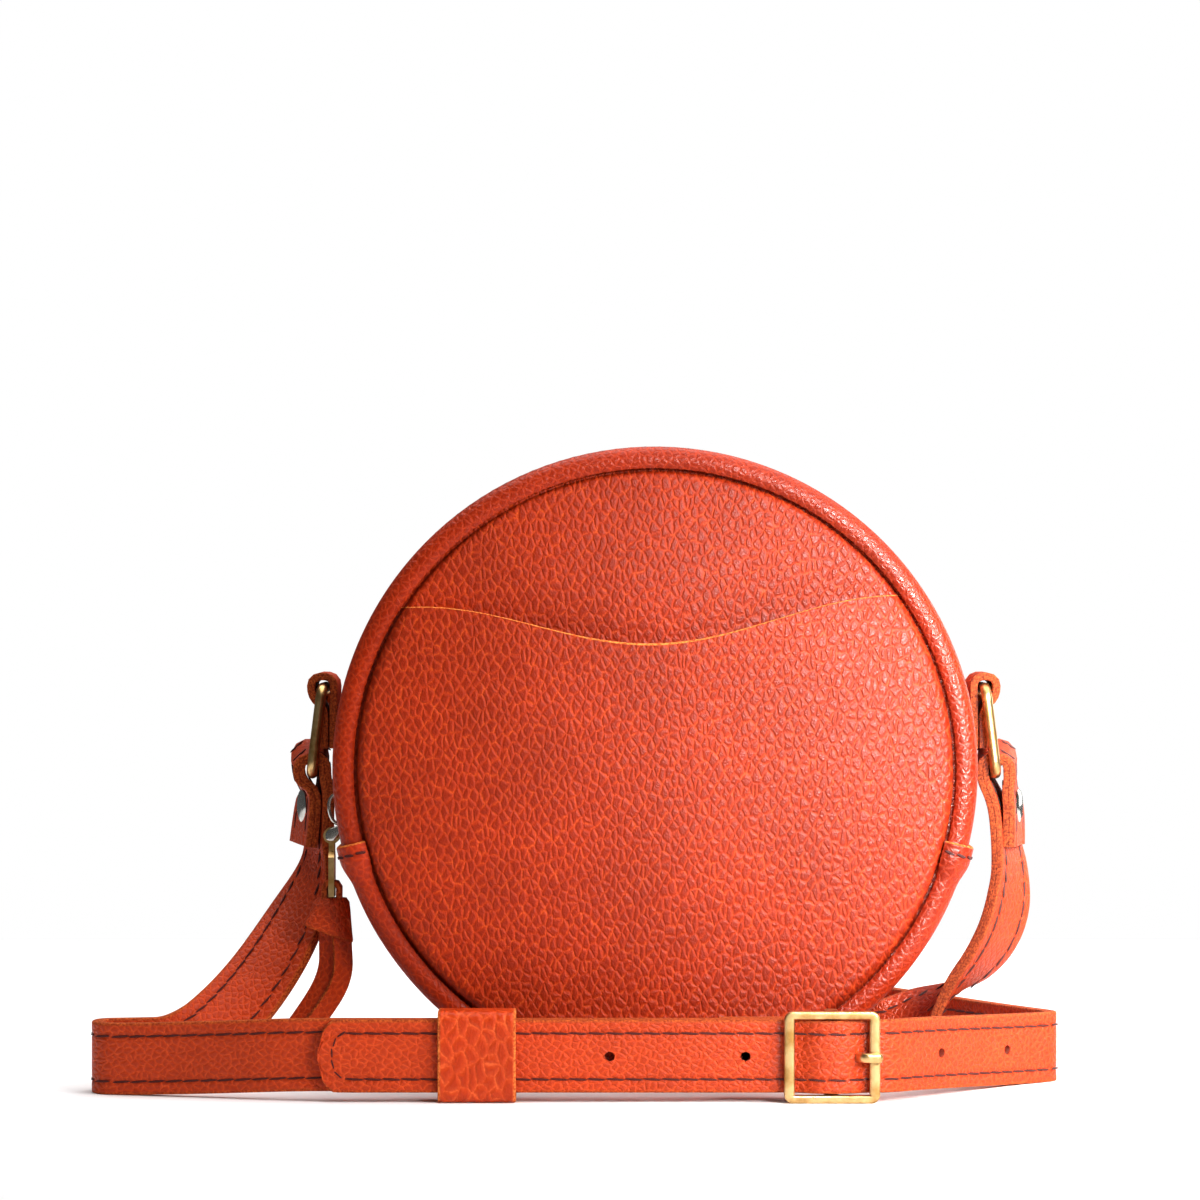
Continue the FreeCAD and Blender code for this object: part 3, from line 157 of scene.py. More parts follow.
# %% [markdown]
# ## Helpers for surfaces
# A piece is a list of bodies. A body is points in millimetres, a value called lay for each point, and
# groups of faces. The lay says where a point lies on the flat leather, along and across in metres, and
# whether it is on a cut edge, so that the grain follows the leather round every bend.

# %% Bodies from grids
# Every length below is in millimetres, and the function make turns it into metres.
MM = 0.001


def unit(vectors):
    """Each vector divided by its length."""
    return vectors / np.linalg.norm(vectors, axis=-1, keepdims=True)


def tube(rings, lay=None, wrap=False):
    """A closed profile carried along a path: rings[i, j] is point j of the profile at station i.
    Each point is joined to the next round the profile and along the path; the ends are capped, or
    joined to each other with wrap. Metal needs no lay."""
    rows, cols = rings.shape[:2]
    lay = np.zeros(rings.shape) if lay is None else lay
    index = np.arange(rows * cols).reshape(rows, cols)
    here = index if wrap else index[:-1]
    there = np.roll(index, -1, 0) if wrap else index[1:]
    quads = np.stack([here, np.roll(here, -1, 1), np.roll(there, -1, 1), there], -1).reshape(-1, 4)
    groups = [quads] if wrap else [quads, index[:1, ::-1], index[-1:]]
    return rings.reshape(-1, 3), lay.reshape(-1, 3), groups


def shell(rings, poles, lay=None, pole_lay=None):
    """Closed rings one inside the next, from one pole to the other: quads between, a fan at each pole."""
    points, lay, groups = tube(rings, lay)
    pole_lay = np.zeros((2, 3)) if pole_lay is None else pole_lay
    rows, cols = rings.shape[:2]
    count = rows * cols
    first = np.arange(cols)
    last = first + count - cols
    fans = [
        np.stack([np.full(cols, count), np.roll(first, -1), first], -1),
        np.stack([np.full(cols, count + 1), last, np.roll(last, -1)], -1),
    ]
    return np.vstack([points, poles]), np.vstack([lay, pole_lay]), groups[:1] + fans


def turned_out(points, groups):
    """Faces the other way round if the volume, the sum over fans of a . (b x c) / 6, is negative."""
    volume = 0.0
    for group in groups:
        corner = points[group]
        a = np.broadcast_to(corner[:, :1], corner[:, 2:].shape)
        volume += np.einsum("ijk,ijk->", a, np.cross(corner[:, 1:-1], corner[:, 2:])) / 6
    return [group[:, ::-1] for group in groups] if volume < 0 else groups


def make(name, bodies, material, sharp=38.0):
    """One mesh object at the origin from several closed bodies."""
    start, faces, points, lays = 0, [], [], []
    for body_points, lay, groups in bodies:
        used = np.unique(np.concatenate([group.ravel() for group in groups]))
        for group in turned_out(body_points, groups):
            faces += (np.searchsorted(used, group) + start).tolist()
        start += len(used)
        points.append(body_points[used])
        lays.append(lay[used])
    mesh = bpy.data.meshes.new(name)
    mesh.from_pydata(np.vstack(points) * MM, [], faces)
    mesh.polygons.foreach_set("use_smooth", np.ones(len(faces), bool))
    mesh.set_sharp_from_angle(angle=np.radians(sharp))
    values = np.vstack(lays).astype(np.float32)
    mesh.attributes.new("lay", "FLOAT_VECTOR", "POINT").data.foreach_set("vector", values.ravel())
    mesh.materials.append(material)
    item = bpy.data.objects.new(name, mesh)
    bpy.context.scene.collection.objects.link(item)
    print(name, len(mesh.vertices), "points", len(mesh.polygons), "faces")
    return item


def lay_of(along, across, raw):
    """Stack the three lay values, lengths in millimetres, on one grid."""
    along, across, raw = np.broadcast_arrays(along, across, raw)
    return np.stack([along * MM, across * MM, raw], -1).astype(float)


# %% [markdown]
# ## Leather
# The bag is pebbled pull-up leather: hides tumbled until the surface breaks into cells about 2 mm wide
# and half as tall again, then waxed. The cells are dark red, and the creases between them show lighter
# orange: partly the wax that has moved there, partly a painted highlight for the light the crease flanks
# catch. A Voronoi pattern gives those cells, bent by a noise so that no edge is straight; its distance to
# the cell's edge drives colour, bump and gloss together. A second noise breaks the creases, since real ones
# come and go. A cut edge shows the pale fibres inside the hide.

# %% Leather finish
def leather(name, cell, tall, colours, relief, gloss):
    """Cells of the given width in mm, stretched by tall; relief is the bump's depth in mm. The colours are
    the middle of a cell, its slope, its crease, which is lighter partly as a painted highlight, and the dark
    and light fibres of a cut edge."""
    middle, slope, crease_and_painted_highlight, dark, light = colours
    material, tree, shader = blank(name)

    def noise(vector, size, detail):
        """A noise with features of the given size in mm."""
        return add(tree, "TexNoise", {"Vector": vector, "Scale": 1 / (size * MM), "Detail": detail})

    def cracks(vector, size, randomness):
        """Distance to the nearest edge of a cell, in shares of the cell's size in mm."""
        return add(tree, "TexVoronoi", {"Vector": vector, "Scale": 1 / (size * MM), "Randomness": randomness},
                   feature="DISTANCE_TO_EDGE", voronoi_dimensions="2D").outputs["Distance"]

    def weighed(value, weight, rest):
        """The value times a weight, plus the rest."""
        return add(tree, "Math", {0: value, 1: weight, 2: rest}, operation="MULTIPLY_ADD").outputs[0]

    def spread(value, top, low, high, curve="LINEAR"):
        """A value from 0 to top spread over low to high."""
        return add(tree, "MapRange", {"Value": value, 1: 0.0, 2: top, 3: low, 4: high},
                   interpolation_type=curve).outputs[0]

    # Where the point lies on the hide, turned by an eighth and bent by a noise.
    lay = add(tree, "Attribute", attribute_name="lay").outputs["Vector"]
    raw = add(tree, "SeparateXYZ", {0: lay}).outputs["Z"]
    squat = add(tree, "VectorMath", {0: lay, 1: (1.0, 1.0 / tall, 0.0)}, operation="MULTIPLY").outputs[0]
    flat = add(tree, "VectorRotate", {"Vector": squat, "Angle": np.pi / 4}, rotation_type="Z_AXIS").outputs[0]
    sway = noise(flat, cell * 1.6, 3.0).outputs["Color"]
    bent = add(tree, "VectorMath", {0: sway, 1: (cell * 0.9 * MM,) * 3, 2: flat},
               operation="MULTIPLY_ADD").outputs[0]
    cells = cracks(bent, cell, 0.72)
    mottle = noise(lay, 0.8, 3.0).outputs[0]
    place = add(tree, "TexCoord").outputs["Object"]
    fibre = noise(place, 0.6, 3.0).outputs[0]

    # Colour: light creases that come and go, their lightness partly a painted highlight, then dark cells; the
    # tone drifts over the whole hide.
    faint = noise(flat, cell * 1.1, 1.0).outputs[0]
    broken = weighed(faint, 0.36, weighed(mottle, 0.35, cells))
    # The crease stop is lighter partly for the pull-up wax and partly as a painted highlight of the light on
    # the crease flanks.
    hue = tones(tree, broken, (0.27, crease_and_painted_highlight), (0.42, slope), (0.70, middle))
    tone = weighed(noise(lay, 26, 2.0).outputs[0], 0.50, 0.76)
    toned = add(tree, "HueSaturation", {"Value": tone, "Color": hue}).outputs[0]
    pale = tones(tree, fibre, (0.36, dark), (0.66, light))
    colour = add(tree, "Mix", {"Factor": raw, 6: toned, 7: pale}, data_type="RGBA").outputs[2]

    # Bump: a dome per cell, small cells a third as wide on it, and the pores of the mottle.
    dome = spread(cells, 0.30, 0.0, 1.0, "SMOOTHSTEP")
    small = spread(cracks(bent, cell * 0.36, 1.0), 0.25, 0.0, 0.22)
    height = add(tree, "Math", {0: dome, 1: small}, operation="ADD").outputs[0]
    kept = add(tree, "Mix", {"Factor": raw, 2: weighed(mottle, 0.14, height), 3: fibre}).outputs[0]
    bump = add(tree, "Bump", {"Height": kept, "Strength": 0.8, "Distance": relief * MM}).outputs[0]

    # Gloss: the tops are rubbed smooth, the creases less, and a cut edge is dull.
    shine = spread(dome, 1.0, gloss + 0.16, gloss)
    dull = add(tree, "Mix", {"Factor": raw, 2: shine, 3: 0.92}).outputs[0]
    plug(tree, shader, {"Base Color": colour, "Normal": bump, "Roughness": dull, "IOR": 1.38})
    return material


# The two faces and the pocket: big soft cells with a satin sheen that breaks up over the grain.
shell_leather = leather("pebbled_pull_up_leather", 2.0, 1.55,
                        ("#982902", "#b03506", "#cc5018", "#c4561c", "#f0a050"), 0.25, 0.46)
# The gusset: stretched nearly flat, so that the rolled rim shines in one line.
gusset_leather = leather("stretched_pull_up_leather", 1.8, 1.2,
                         ("#9c2a06", "#ac340a", "#bc3d0e", "#b04a18", "#e88a42"), 0.12, 0.35)
# The strap: thin firm leather with a fine grain and fibrous cut edges.
strap_leather = leather("fine_pebbled_strap_leather", 1.7, 1.2,
                        ("#b23a10", "#c24516", "#d45424", "#86300e", "#cc652c"), 0.20, 0.42)
# The keeper: one large smooth patch of hide, glossy from being pulled along the strap.
keeper_leather = leather("smooth_loop_leather", 3.0, 1.5,
                         ("#b4390c", "#c44614", "#de6430", "#a8481a", "#ea9048"), 0.20, 0.33)
print("leathers:", shell_leather.name, strap_leather.name, keeper_leather.name)

# %% [markdown]
# ## Metal, thread and tape
# The buckle and rings are antique brass, plated and then rubbed so that the tint is uneven. The rivets and
# the zip slider are polished nickel. The thread is waxed polyester, dark maroon, and the zip tape is
# a plain weave. A metal keeps the default IOR; only its tint and roughness vary.

# %% Metal, thread and tape finishes
def metal(name, light, dark, roughness, patch):
    """A metal whose tint and roughness drift between two values over patches of the given size in mm."""
    material, tree, shader = blank(name)
    place = add(tree, "TexCoord").outputs["Object"]
    drift = add(tree, "TexNoise", {"Vector": place, "Scale": 1 / (patch * MM), "Detail": 4.0}).outputs[0]
    tint = tones(tree, drift, (0.35, dark), (0.60, light))
    rub = add(tree, "MapRange", {"Value": drift, 1: 0.3, 2: 0.7, 3: roughness + 0.12, 4: roughness})
    plug(tree, shader, {"Metallic": 1.0, "Base Color": tint, "Roughness": rub.outputs[0]})
    return material


def woven(name, light, dark, pitch, roughness):
    """Threads along and across at the given pitch in mm: two sine waves multiplied on the lay."""
    material, tree, shader = blank(name)
    lay = add(tree, "Attribute", attribute_name="lay").outputs["Vector"]
    turns = add(tree, "VectorMath", {0: lay, "Scale": 2 * np.pi / (pitch * MM)}, operation="SCALE")
    parts = add(tree, "SeparateXYZ", {0: turns.outputs[0]})
    waves = [add(tree, "Math", {0: parts.outputs[axis]}, operation="SINE").outputs[0] for axis in (0, 1)]
    weave = add(tree, "Math", {0: waves[0], 1: waves[1]}, operation="MULTIPLY").outputs[0]
    level = add(tree, "MapRange", {"Value": weave, 1: -1.0, 2: 1.0, 3: 0.0, 4: 1.0}).outputs[0]
    tint = tones(tree, level, (0.0, dark), (1.0, light))
    bump = add(tree, "Bump", {"Height": level, "Strength": 0.6, "Distance": pitch * 0.2 * MM}).outputs[0]
    plug(tree, shader, {"Base Color": tint, "Normal": bump, "Roughness": roughness})
    return material


# Rubbed brass: warm soft highlights, darker where the rubbing missed.
antique_brass = metal("antique_brass", "#d8b985", "#a8824a", 0.27, 5.0)
# Nickel: small sharp white highlights.
nickel = metal("polished_nickel", "#d6d4ce", "#bdbab2", 0.12, 6.0)
# Thread: dark matt dashes that stand out from the leather.
waxed_thread = woven("waxed_maroon_thread", "#64211a", "#3a100b", 0.5, 0.75)
# Tape: a dull dark band that shows where the mouth opens.
zip_tape = woven("plain_weave_zip_tape", "#7a3420", "#4e1e12", 0.9, 0.85)
print("metals and fabrics:", antique_brass.name, nickel.name, waxed_thread.name, zip_tape.name)

# %% [markdown]
# ## Floor
# A plain white sweep. The floor is wider than the view and ends against the white behind it, so that no
# horizon shows. It is only part of the stage, not of the bag.

# %% Floor
REACH = 0.62
NEAR, FAR = -0.42, 0.50
# Matt paper: white, with a soft shadow under the bag and no reflection of it.
paper, paper_tree, paper_shader = blank("white_paper")
plug(paper_tree, paper_shader, {"Base Color": linear("#fafafa"), "Roughness": 0.9})
floor_mesh = bpy.data.meshes.new("floor")
corners = [(-REACH, NEAR, 0), (REACH, NEAR, 0), (REACH, FAR, 0), (-REACH, FAR, 0)]
floor_mesh.from_pydata(corners, [], [(0, 1, 2, 3)])
floor_mesh.materials.append(paper)
floor = bpy.data.objects.new("floor", floor_mesh)
bpy.context.scene.collection.objects.link(floor)
print("floor:", 2 * REACH, "m wide")

# %% [markdown]
# ## Round panels
# Each face of the bag is a disc of leather that bellies out by 6 mm, because it is sewn into a gusset that
# is a little too short for it. Near the seam it dives under the rolled rim, which makes the dark groove.
# A dish in polar coordinates is the simplest surface for it.

# %% Panels
AXIS = 88.2  # height of the bag's axis above the floor
EDGE = 84.3  # radius of the disc
SEAM = 82.0  # radius at which the dive into the seam ends
CROWN = 6.0  # how far the middle bellies out
PANEL_FACE = 29.6  # outside of the disc's edge, from the middle of the bag
PANEL_THICK = 2.0
WAVE_HIGH, WAVE_DIP, WAVE_HALF, WAVE_TILT = 46.4, 11.6, 66, 0.025
TUCK_DEEP, TUCK_WIDE, TUCK_HALF = 1.7, 9, 70


def belly(radius, pull, width):
    """Height of a sewn disc: a parabola, less a quarter of an ellipse, of depth pull and the given width,
    where the leather dives into the seam."""
    dive = np.clip((radius - (SEAM - width)) / width, 0, 1)
    return CROWN * (1 - (radius / EDGE) ** 2) - pull * (1 - np.sqrt(1 - dive ** 2))


def slack(x, z):
    """Gentle waves of soft leather: three long sines across the face, 0.4 mm high at most."""
    return 0.20 * np.sin(x / 13 + z / 23) + 0.12 * np.sin(z / 9 - x / 31) + 0.08 * np.sin(x / 7 + 1.3)


def wave_top(x):
    """Height of the pocket's top edge above the bag's axis: a tilted line less one hump of a cosine."""
    hump = 0.5 + 0.5 * np.cos(np.pi * np.clip(x, -WAVE_HALF, WAVE_HALF) / WAVE_HALF)
    return WAVE_HIGH + WAVE_TILT * x - WAVE_DIP * hump


def tuck(x, z):
    """The front panel sinks behind the pocket's edge: a bell along the wave, fading towards the rim."""
    bell = np.exp(-((z - wave_top(x) + 2) / TUCK_WIDE) ** 2)
    return TUCK_DEEP * bell * np.clip(1 - (x / TUCK_HALF) ** 2, 0, 1)


def panel(sign):
    """Rings of growing radius on the outside, then of shrinking radius on the inside."""
    turn = np.linspace(0, 2 * np.pi, 360, endpoint=False)
    share = np.linspace(0.012, 1, 76)
    out = EDGE * (1 - (1 - share) ** 1.35)
    radius = np.concatenate([out, out[::-1]])[:, None]
    inside = np.concatenate([np.zeros(len(out)), np.ones(len(out))])[:, None]
    x = radius * np.cos(turn)
    z = radius * np.sin(turn)
    swell = slack(x, z) * (1 - (radius / EDGE) ** 4)
    y = PANEL_FACE + belly(radius, 2.6, 1.7) + swell - PANEL_THICK * inside
    y = y - tuck(x, z) * (sign < 0)
    rings = np.stack([x, sign * y, z + AXIS], -1)
    top = PANEL_FACE + CROWN + slack(0, 0)
    poles = np.array([[0, sign * top, AXIS], [0, sign * (top - PANEL_THICK), AXIS]])
    return shell(rings, poles, lay_of(x, z, inside), lay_of(0, 0, np.array([0, 1])))


for name, sign in (("front_panel", -1), ("back_panel", 1)):
    item = make(name + "_leather", [panel(sign)], shell_leather)
    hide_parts(name)
    if sign < 0:
        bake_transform(item)
    else:
        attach(item, "bag")

# %% [markdown]
# ## Slip pocket
# The pocket covers the lower two thirds of the front. Its top edge is cut raw in a wave that dips in the
# middle. The outline is a circle below and the wave above, so rays from a point inside it reach every
# part of the edge once: the surface is those rays, shrunk towards the middle.

# %% Pocket
POCKET_FACE = 31.6
POCKET_THICK = 1.8
HEART_Z = 8.0  # height of the heart above the bag's axis
ROWS = 72


def pocket():
    """Rays from the heart to the edge. Rows of growing share make the outside, six rows the raw lip, and
    rows of shrinking share, one leather thickness deeper, the inside. The corners, where the wave meets
    the circle, are found by putting x = sqrt(EDGE ** 2 - wave ** 2) into itself a few times."""
    corner = np.array([-71.8, 69.4])
    for step in range(4):
        corner = np.sign(corner) * np.sqrt(EDGE ** 2 - wave_top(corner) ** 2)
    wave_x = np.linspace(corner[0], corner[1], 210, endpoint=False)
    ends = np.arctan2(wave_top(corner), corner)
    arc = np.linspace(ends[1], ends[0] - 2 * np.pi, 330, endpoint=False)
    edge_x = np.concatenate([wave_x, EDGE * np.cos(arc)])
    edge_z = np.concatenate([wave_top(wave_x), EDGE * np.sin(arc)])
    out = 1 - (1 - np.linspace(0.012, 1, ROWS)) ** 1.25

    def column(outside, lip, inside):
        """One value per row, with the lip's own values between the two faces."""
        return np.concatenate([np.full(ROWS, outside), lip, np.full(ROWS, inside)])[:, None]

    rows = np.concatenate([out, np.ones(6), out[::-1]])[:, None]
    inset = column(0.66, [0.62, 0.50, 0.24, 0.06, 0.0, 0.06], 0.4)
    depth = column(0.0, [0.0, 0.02, 0.16, 0.45, 0.9, 1.5], POCKET_THICK)
    raw = column(0.0, [0.2, 1, 1, 1, 1, 1], 1.0)
    share = rows * (1 - inset / np.hypot(edge_x, edge_z - HEART_Z))
    x = edge_x * share
    z = HEART_Z + (edge_z - HEART_Z) * share
    radius = np.hypot(x, z)
    below = np.clip(wave_top(x) - z, 0, None)
    gape = 0.7 * np.exp(-(below / 11) ** 2) * np.clip(1 - (x / WAVE_HALF) ** 2, 0, 1)
    swell = slack(x + 40, z) * (1 - (radius / EDGE) ** 4)
    y = POCKET_FACE + belly(radius, 4.4, 2.4) + gape + swell - depth
    rings = np.stack([x, -y, z + AXIS], -1)
    top = POCKET_FACE + belly(HEART_Z, 0, 1) + slack(40, HEART_Z)
    poles = np.array([[0, -top, HEART_Z + AXIS], [0, POCKET_THICK - top, HEART_Z + AXIS]])
    return shell(rings, poles, lay_of(x + 200, z, raw), lay_of(200, HEART_Z, np.array([0, 1])))


item = make("front_pocket_leather", [pocket()], shell_leather)
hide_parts("front_pocket")
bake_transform(item)

# %% [markdown]
# ## Gussets with a rolled rim
# The gusset is one long strip bent round the panels. Along both edges it rolls over the seam into a bead
# about 4 mm in radius. The section is drawn once, as distance across and radius, and turned about the
# bag's axis. The lower strip laps over the two zip strips near the ends and is sewn across there.

# %% Gusset sections
HALF = 30.0  # half the gusset's width
RADIUS = 89.0
ROLL = 4.0  # radius of the bead
FLAT = HALF - ROLL
THICK = 2.0
CURL = 125  # how far the bead rolls over, in degrees


def bead(side, roll, start, stop, count):
    """An arc of the rolled rim: angle 0 points out from the axis, 90 degrees to the face of the bag."""
    angle = np.radians(np.linspace(start, stop, count))
    return np.stack([side * (FLAT + roll * np.sin(angle)), RADIUS - ROLL + roll * np.cos(angle)], -1)


def bar(start, stop, count):
    """Points between two (across, radius) places, the ends left out."""
    share = np.linspace(0, 1, count + 2)[1:-1, None]
    return np.array(start) * (1 - share) + np.array(stop) * share


def turned(section, angles, ruffle=0.0):
    """A section of (across, radius) points carried round the bag's axis; angle 0 is the top."""
    across = np.broadcast_to(section[:, 0], (len(angles), len(section)))
    radius = section[:, 1] + ruffle
    turn = angles[:, None]
    return np.stack([radius * np.sin(turn), across, AXIS + radius * np.cos(turn)], -1)


def section_run(section):
    """Length along a section up to each of its points."""
    return np.concatenate([[0], np.cumsum(np.hypot(*np.diff(section, axis=0).T))])


def rim_ruffle(angles, section, deep):
    """Fine cross wrinkles of a tight bend: sines of unlike length round the bag, on the bead alone."""
    on_bead = np.clip((np.abs(section[:, 0]) - FLAT) / ROLL, 0, 1)
    wave = np.sin(angles * 171) * np.sin(angles * 37 + 1) + 0.7 * np.sin(angles * 263 + 2)
    return deep * wave[:, None] * on_bead


# %% Lower gusset
LAP_TOP = 103.7  # where the lap ends, in degrees from the top of the bag
LAP_JOINT = 106.5  # where it lies fully on the zip strips
LAP_EASE = 111.5  # where it starts to rise
LAP_THICK = 1.4
SOLE = 0.98  # share of the leather's thickness that is left under the bag
outer = np.vstack([bead(-1, ROLL, CURL, 0, 26), bar((-FLAT, RADIUS), (FLAT, RADIUS), 48),
                   bead(1, ROLL, 0, CURL, 26)])
inside = RADIUS - THICK
inner = np.vstack([bead(1, ROLL - THICK, CURL, 0, 12), bar((FLAT, inside), (-FLAT, inside), 24),
                   bead(-1, ROLL - THICK, 0, CURL, 12)])
angles = np.radians(np.concatenate([
    np.linspace(LAP_TOP, LAP_EASE, 64, endpoint=False),
    np.linspace(LAP_EASE, 360 - LAP_EASE, 420, endpoint=False),
    np.linspace(360 - LAP_EASE, 360 - LAP_TOP, 65),
]))
from_end = np.degrees(np.pi - np.abs(angles - np.pi))
rise = np.clip((LAP_EASE - from_end) / (LAP_EASE - LAP_JOINT), 0, 1)
rise = (rise * rise * (3 - 2 * rise))[:, None]
bevel = 0.45 * np.clip(1 - (from_end - LAP_TOP) / 0.45, 0, 1)[:, None] ** 2


def swollen(section, grow):
    """The section pushed out square to itself, by grow at each station: away from the channel's inside."""
    heart = np.stack([np.clip(section[:, 0], -FLAT, FLAT), np.full(len(section), RADIUS - ROLL)], -1)
    spoke = section - heart
    spoke /= np.maximum(np.hypot(*spoke.T), 1e-6)[:, None]
    return section[None] + spoke[None] * grow[..., None]


# Where the bag stands, the leather is pressed flat: no point goes below its own depth in the section.
profile = np.concatenate([swollen(outer, rise * LAP_THICK - bevel), swollen(inner, rise * THICK)], 1)
section = np.vstack([outer, inner])
radius = profile[..., 1] + rim_ruffle(angles, section, 0.05)
turn = angles[:, None]
pressed = SOLE * np.clip(RADIUS - section[:, 1], 0, None)
z = np.maximum(AXIS + radius * np.cos(turn), pressed)
rings = np.stack([radius * np.sin(turn), profile[..., 0], z], -1)
raw = np.concatenate([np.zeros(len(outer)), np.ones(len(inner))])
end_raw = (from_end < LAP_TOP + 0.35)[:, None]
lay = lay_of(section_run(section) + 400, angles[:, None] * RADIUS, np.maximum(raw, end_raw))
item = make("lower_gusset_leather", [tube(rings, lay)], gusset_leather)
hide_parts("lower_gusset")
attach(item, "bag")

# %% Zip strips and tapes
STRIP = 88.85
STRIP_END = np.radians(106.3)
strip_angles = np.linspace(-STRIP_END, STRIP_END, 520)


def strip_section(side, slot):
    """Bead, flat and turned edge of a zip strip on one side, then back along its inside."""
    roll = ROLL - (RADIUS - STRIP)
    near, far, below = slot + side * 0.9, side * FLAT, STRIP - THICK
    over = np.vstack([bead(side, roll, CURL, 0, 26), bar((far, STRIP), (near, STRIP), 22)])
    under = np.vstack([bar((near, below), (far, below), 12), bead(side, roll - THICK, 0, CURL, 12)])
    lip_y = slot + side * np.array([0.45, 0.12, 0.0, 0.12, 0.45])
    lip_r = STRIP - np.array([0.08, 0.35, 1.0, 1.65, 1.92])
    return np.vstack([over, np.stack([lip_y, lip_r], -1), under]), len(over) + 4


for name, side, slot, body in (
    ("zip_gusset_front", -1, -14.0, "mouth"),
    ("zip_gusset_back", 1, -4.0, "bag"),
):
    section, outside = strip_section(side, slot)
    ruffle = rim_ruffle(strip_angles, section, 0.09)
    raw = (np.arange(len(section)) > outside).astype(float)
    lay = lay_of(section_run(section) + 500 + 100 * side, strip_angles[:, None] * RADIUS, raw)
    item = make(name + "_leather", [tube(turned(section, strip_angles, ruffle), lay)], gusset_leather)
    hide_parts(name)
    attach(item, body)

for name, near, far, body in (
    ("zip_tape_front", -12.1, -24.0, "mouth"),
    ("zip_tape_back", -5.9, 6.0, "bag"),
):
    low, high = 85.85, 86.65
    section = np.vstack([[(near, low), (near, high)], bar((near, high), (far, high), 10),
                         [(far, high), (far, low)]])
    lay = lay_of(section_run(section), strip_angles[:, None] * high, np.zeros(1))
    item = make(name + "_weave", [tube(turned(section, strip_angles), lay)], zip_tape)
    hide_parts(name)
    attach(item, body)

# %% [markdown]
# ## Strap
# The strap is two layers of leather sewn together, in two parts. One part carries the buckle and the other
# has the holes. Each starts as a loop riveted round a ring, hangs, turns on edge and lies along the floor.
# A path with a width direction at every point describes all of that; a flat section with a stitched
# groove near each edge is carried along it. The holes are cut in that grid by moving points to a circle,
# which keeps the mesh closed without a boolean.

# %% Paths
def spline(knots, samples=26):
    """A quadratic B-spline: one parabola per inner point, from the middle of one leg to the next."""
    knots = np.asarray(knots, float)
    middles = (knots[1:-2] + knots[2:-1]) / 2
    starts = np.vstack([knots[:1], middles])[:, None]
    ends = np.vstack([middles, knots[-1:]])[:, None]
    t = np.linspace(0, 1, samples, endpoint=False)[None, :, None]
    runs = starts * (1 - t) ** 2 + knots[1:-1, None] * 2 * t * (1 - t) + ends * t ** 2
    return np.vstack([runs.reshape(-1, knots.shape[1]), knots[-1:]])


def hanging(start, end, heading, pull, bulge, aside):
    """A cubic from straight down at the ring to flat on the floor, its width turning from level to
    upright. The width leans aside at the start, and bulge turns it further on the way."""
    t = np.linspace(0, 1, 60)[:, None]
    down = np.array([0, 0, -1.0])
    point = (start * (2 * t ** 3 - 3 * t ** 2 + 1) + down * pull[0] * (t ** 3 - 2 * t ** 2 + t)
             + end * (3 * t ** 2 - 2 * t ** 3) + heading * pull[1] * (t ** 3 - t ** 2))
    ease = t * t * (3 - 2 * t)
    width = np.hstack([bulge * 4 * ease * (1 - ease) + aside * (1 - ease), 1 - ease, ease])
    return np.hstack([point, width])


def even(path, step):
    """The path again at equal steps, with unit vectors along it, across its width and square to it."""
    run = np.concatenate([[0], np.cumsum(np.linalg.norm(np.diff(path[:, :3], axis=0), axis=1))])
    keep = np.concatenate([[True], np.diff(run) > 1e-6])
    run, path = run[keep], path[keep]
    at = np.linspace(0, run[-1], int(run[-1] / step) + 1)
    path = np.stack([np.interp(at, run, column) for column in path.T], -1)
    ahead = unit(np.gradient(path[:, :3], axis=0))
    width = unit(path[:, 3:] - ahead * np.sum(path[:, 3:] * ahead, 1)[:, None])
    return at, path[:, :3], ahead, width, np.cross(ahead, width)


FACE_POINTS = 45  # points across each face of a strip
STEP = 1.4  # between stations along it
SEAM_IN = 3.6  # from the cut edge to the stitches


def flat_section(wide, thick, groove=0.0, layers=False):
    """A strip's section as (across, up, raw): two faces with a stitched groove, rounded corners and cut
    edges. The groove is a bell; two sewn layers leave a nick between them in the edge."""
    half, high, ease = wide / 2, thick / 2, min(0.45, thick * 0.2)
    v = np.linspace(-half + ease, half - ease, FACE_POINTS)
    dip = groove * np.exp(-((np.abs(v) - (half - SEAM_IN)) / 0.55) ** 2)
    face = np.stack([v, high - dip, np.zeros(FACE_POINTS)], -1)
    nick = 0.22 if layers else 0.0
    bevel = ease * 0.3
    side = np.array([[half - bevel, high - bevel, 1], [half, high - ease, 1], [half, 0.18, 1],
                     [half - nick, 0, 1], [half, -0.18, 1], [half, -high + ease, 1],
                     [half - bevel, -high + bevel, 1]])
    face[[0, -1], 2] = 0.7
    turn = np.array([-1, -1, 1])
    return np.vstack([face, side, face * turn, side * turn])


def strip(path, wide, thick, start=0.0, groove=0.0, layers=False, narrow=None):
    """A flat section carried along a path; narrow scales its width at each station."""
    at, point, ahead, width, face = even(path, STEP)
    section = flat_section(wide, thick, groove, layers)
    scale = np.ones(len(at)) if narrow is None else narrow(at[-1] - at)
    v = section[:, 0] * scale[:, None]
    rings = point[:, None] + width[:, None] * v[..., None] + face[:, None] * section[:, 1, None]
    across = v + np.where(section[:, 1] < 0, 60.0, 0.0)
    return tube(rings, lay_of(across, at[:, None] + start, section[:, 2]))


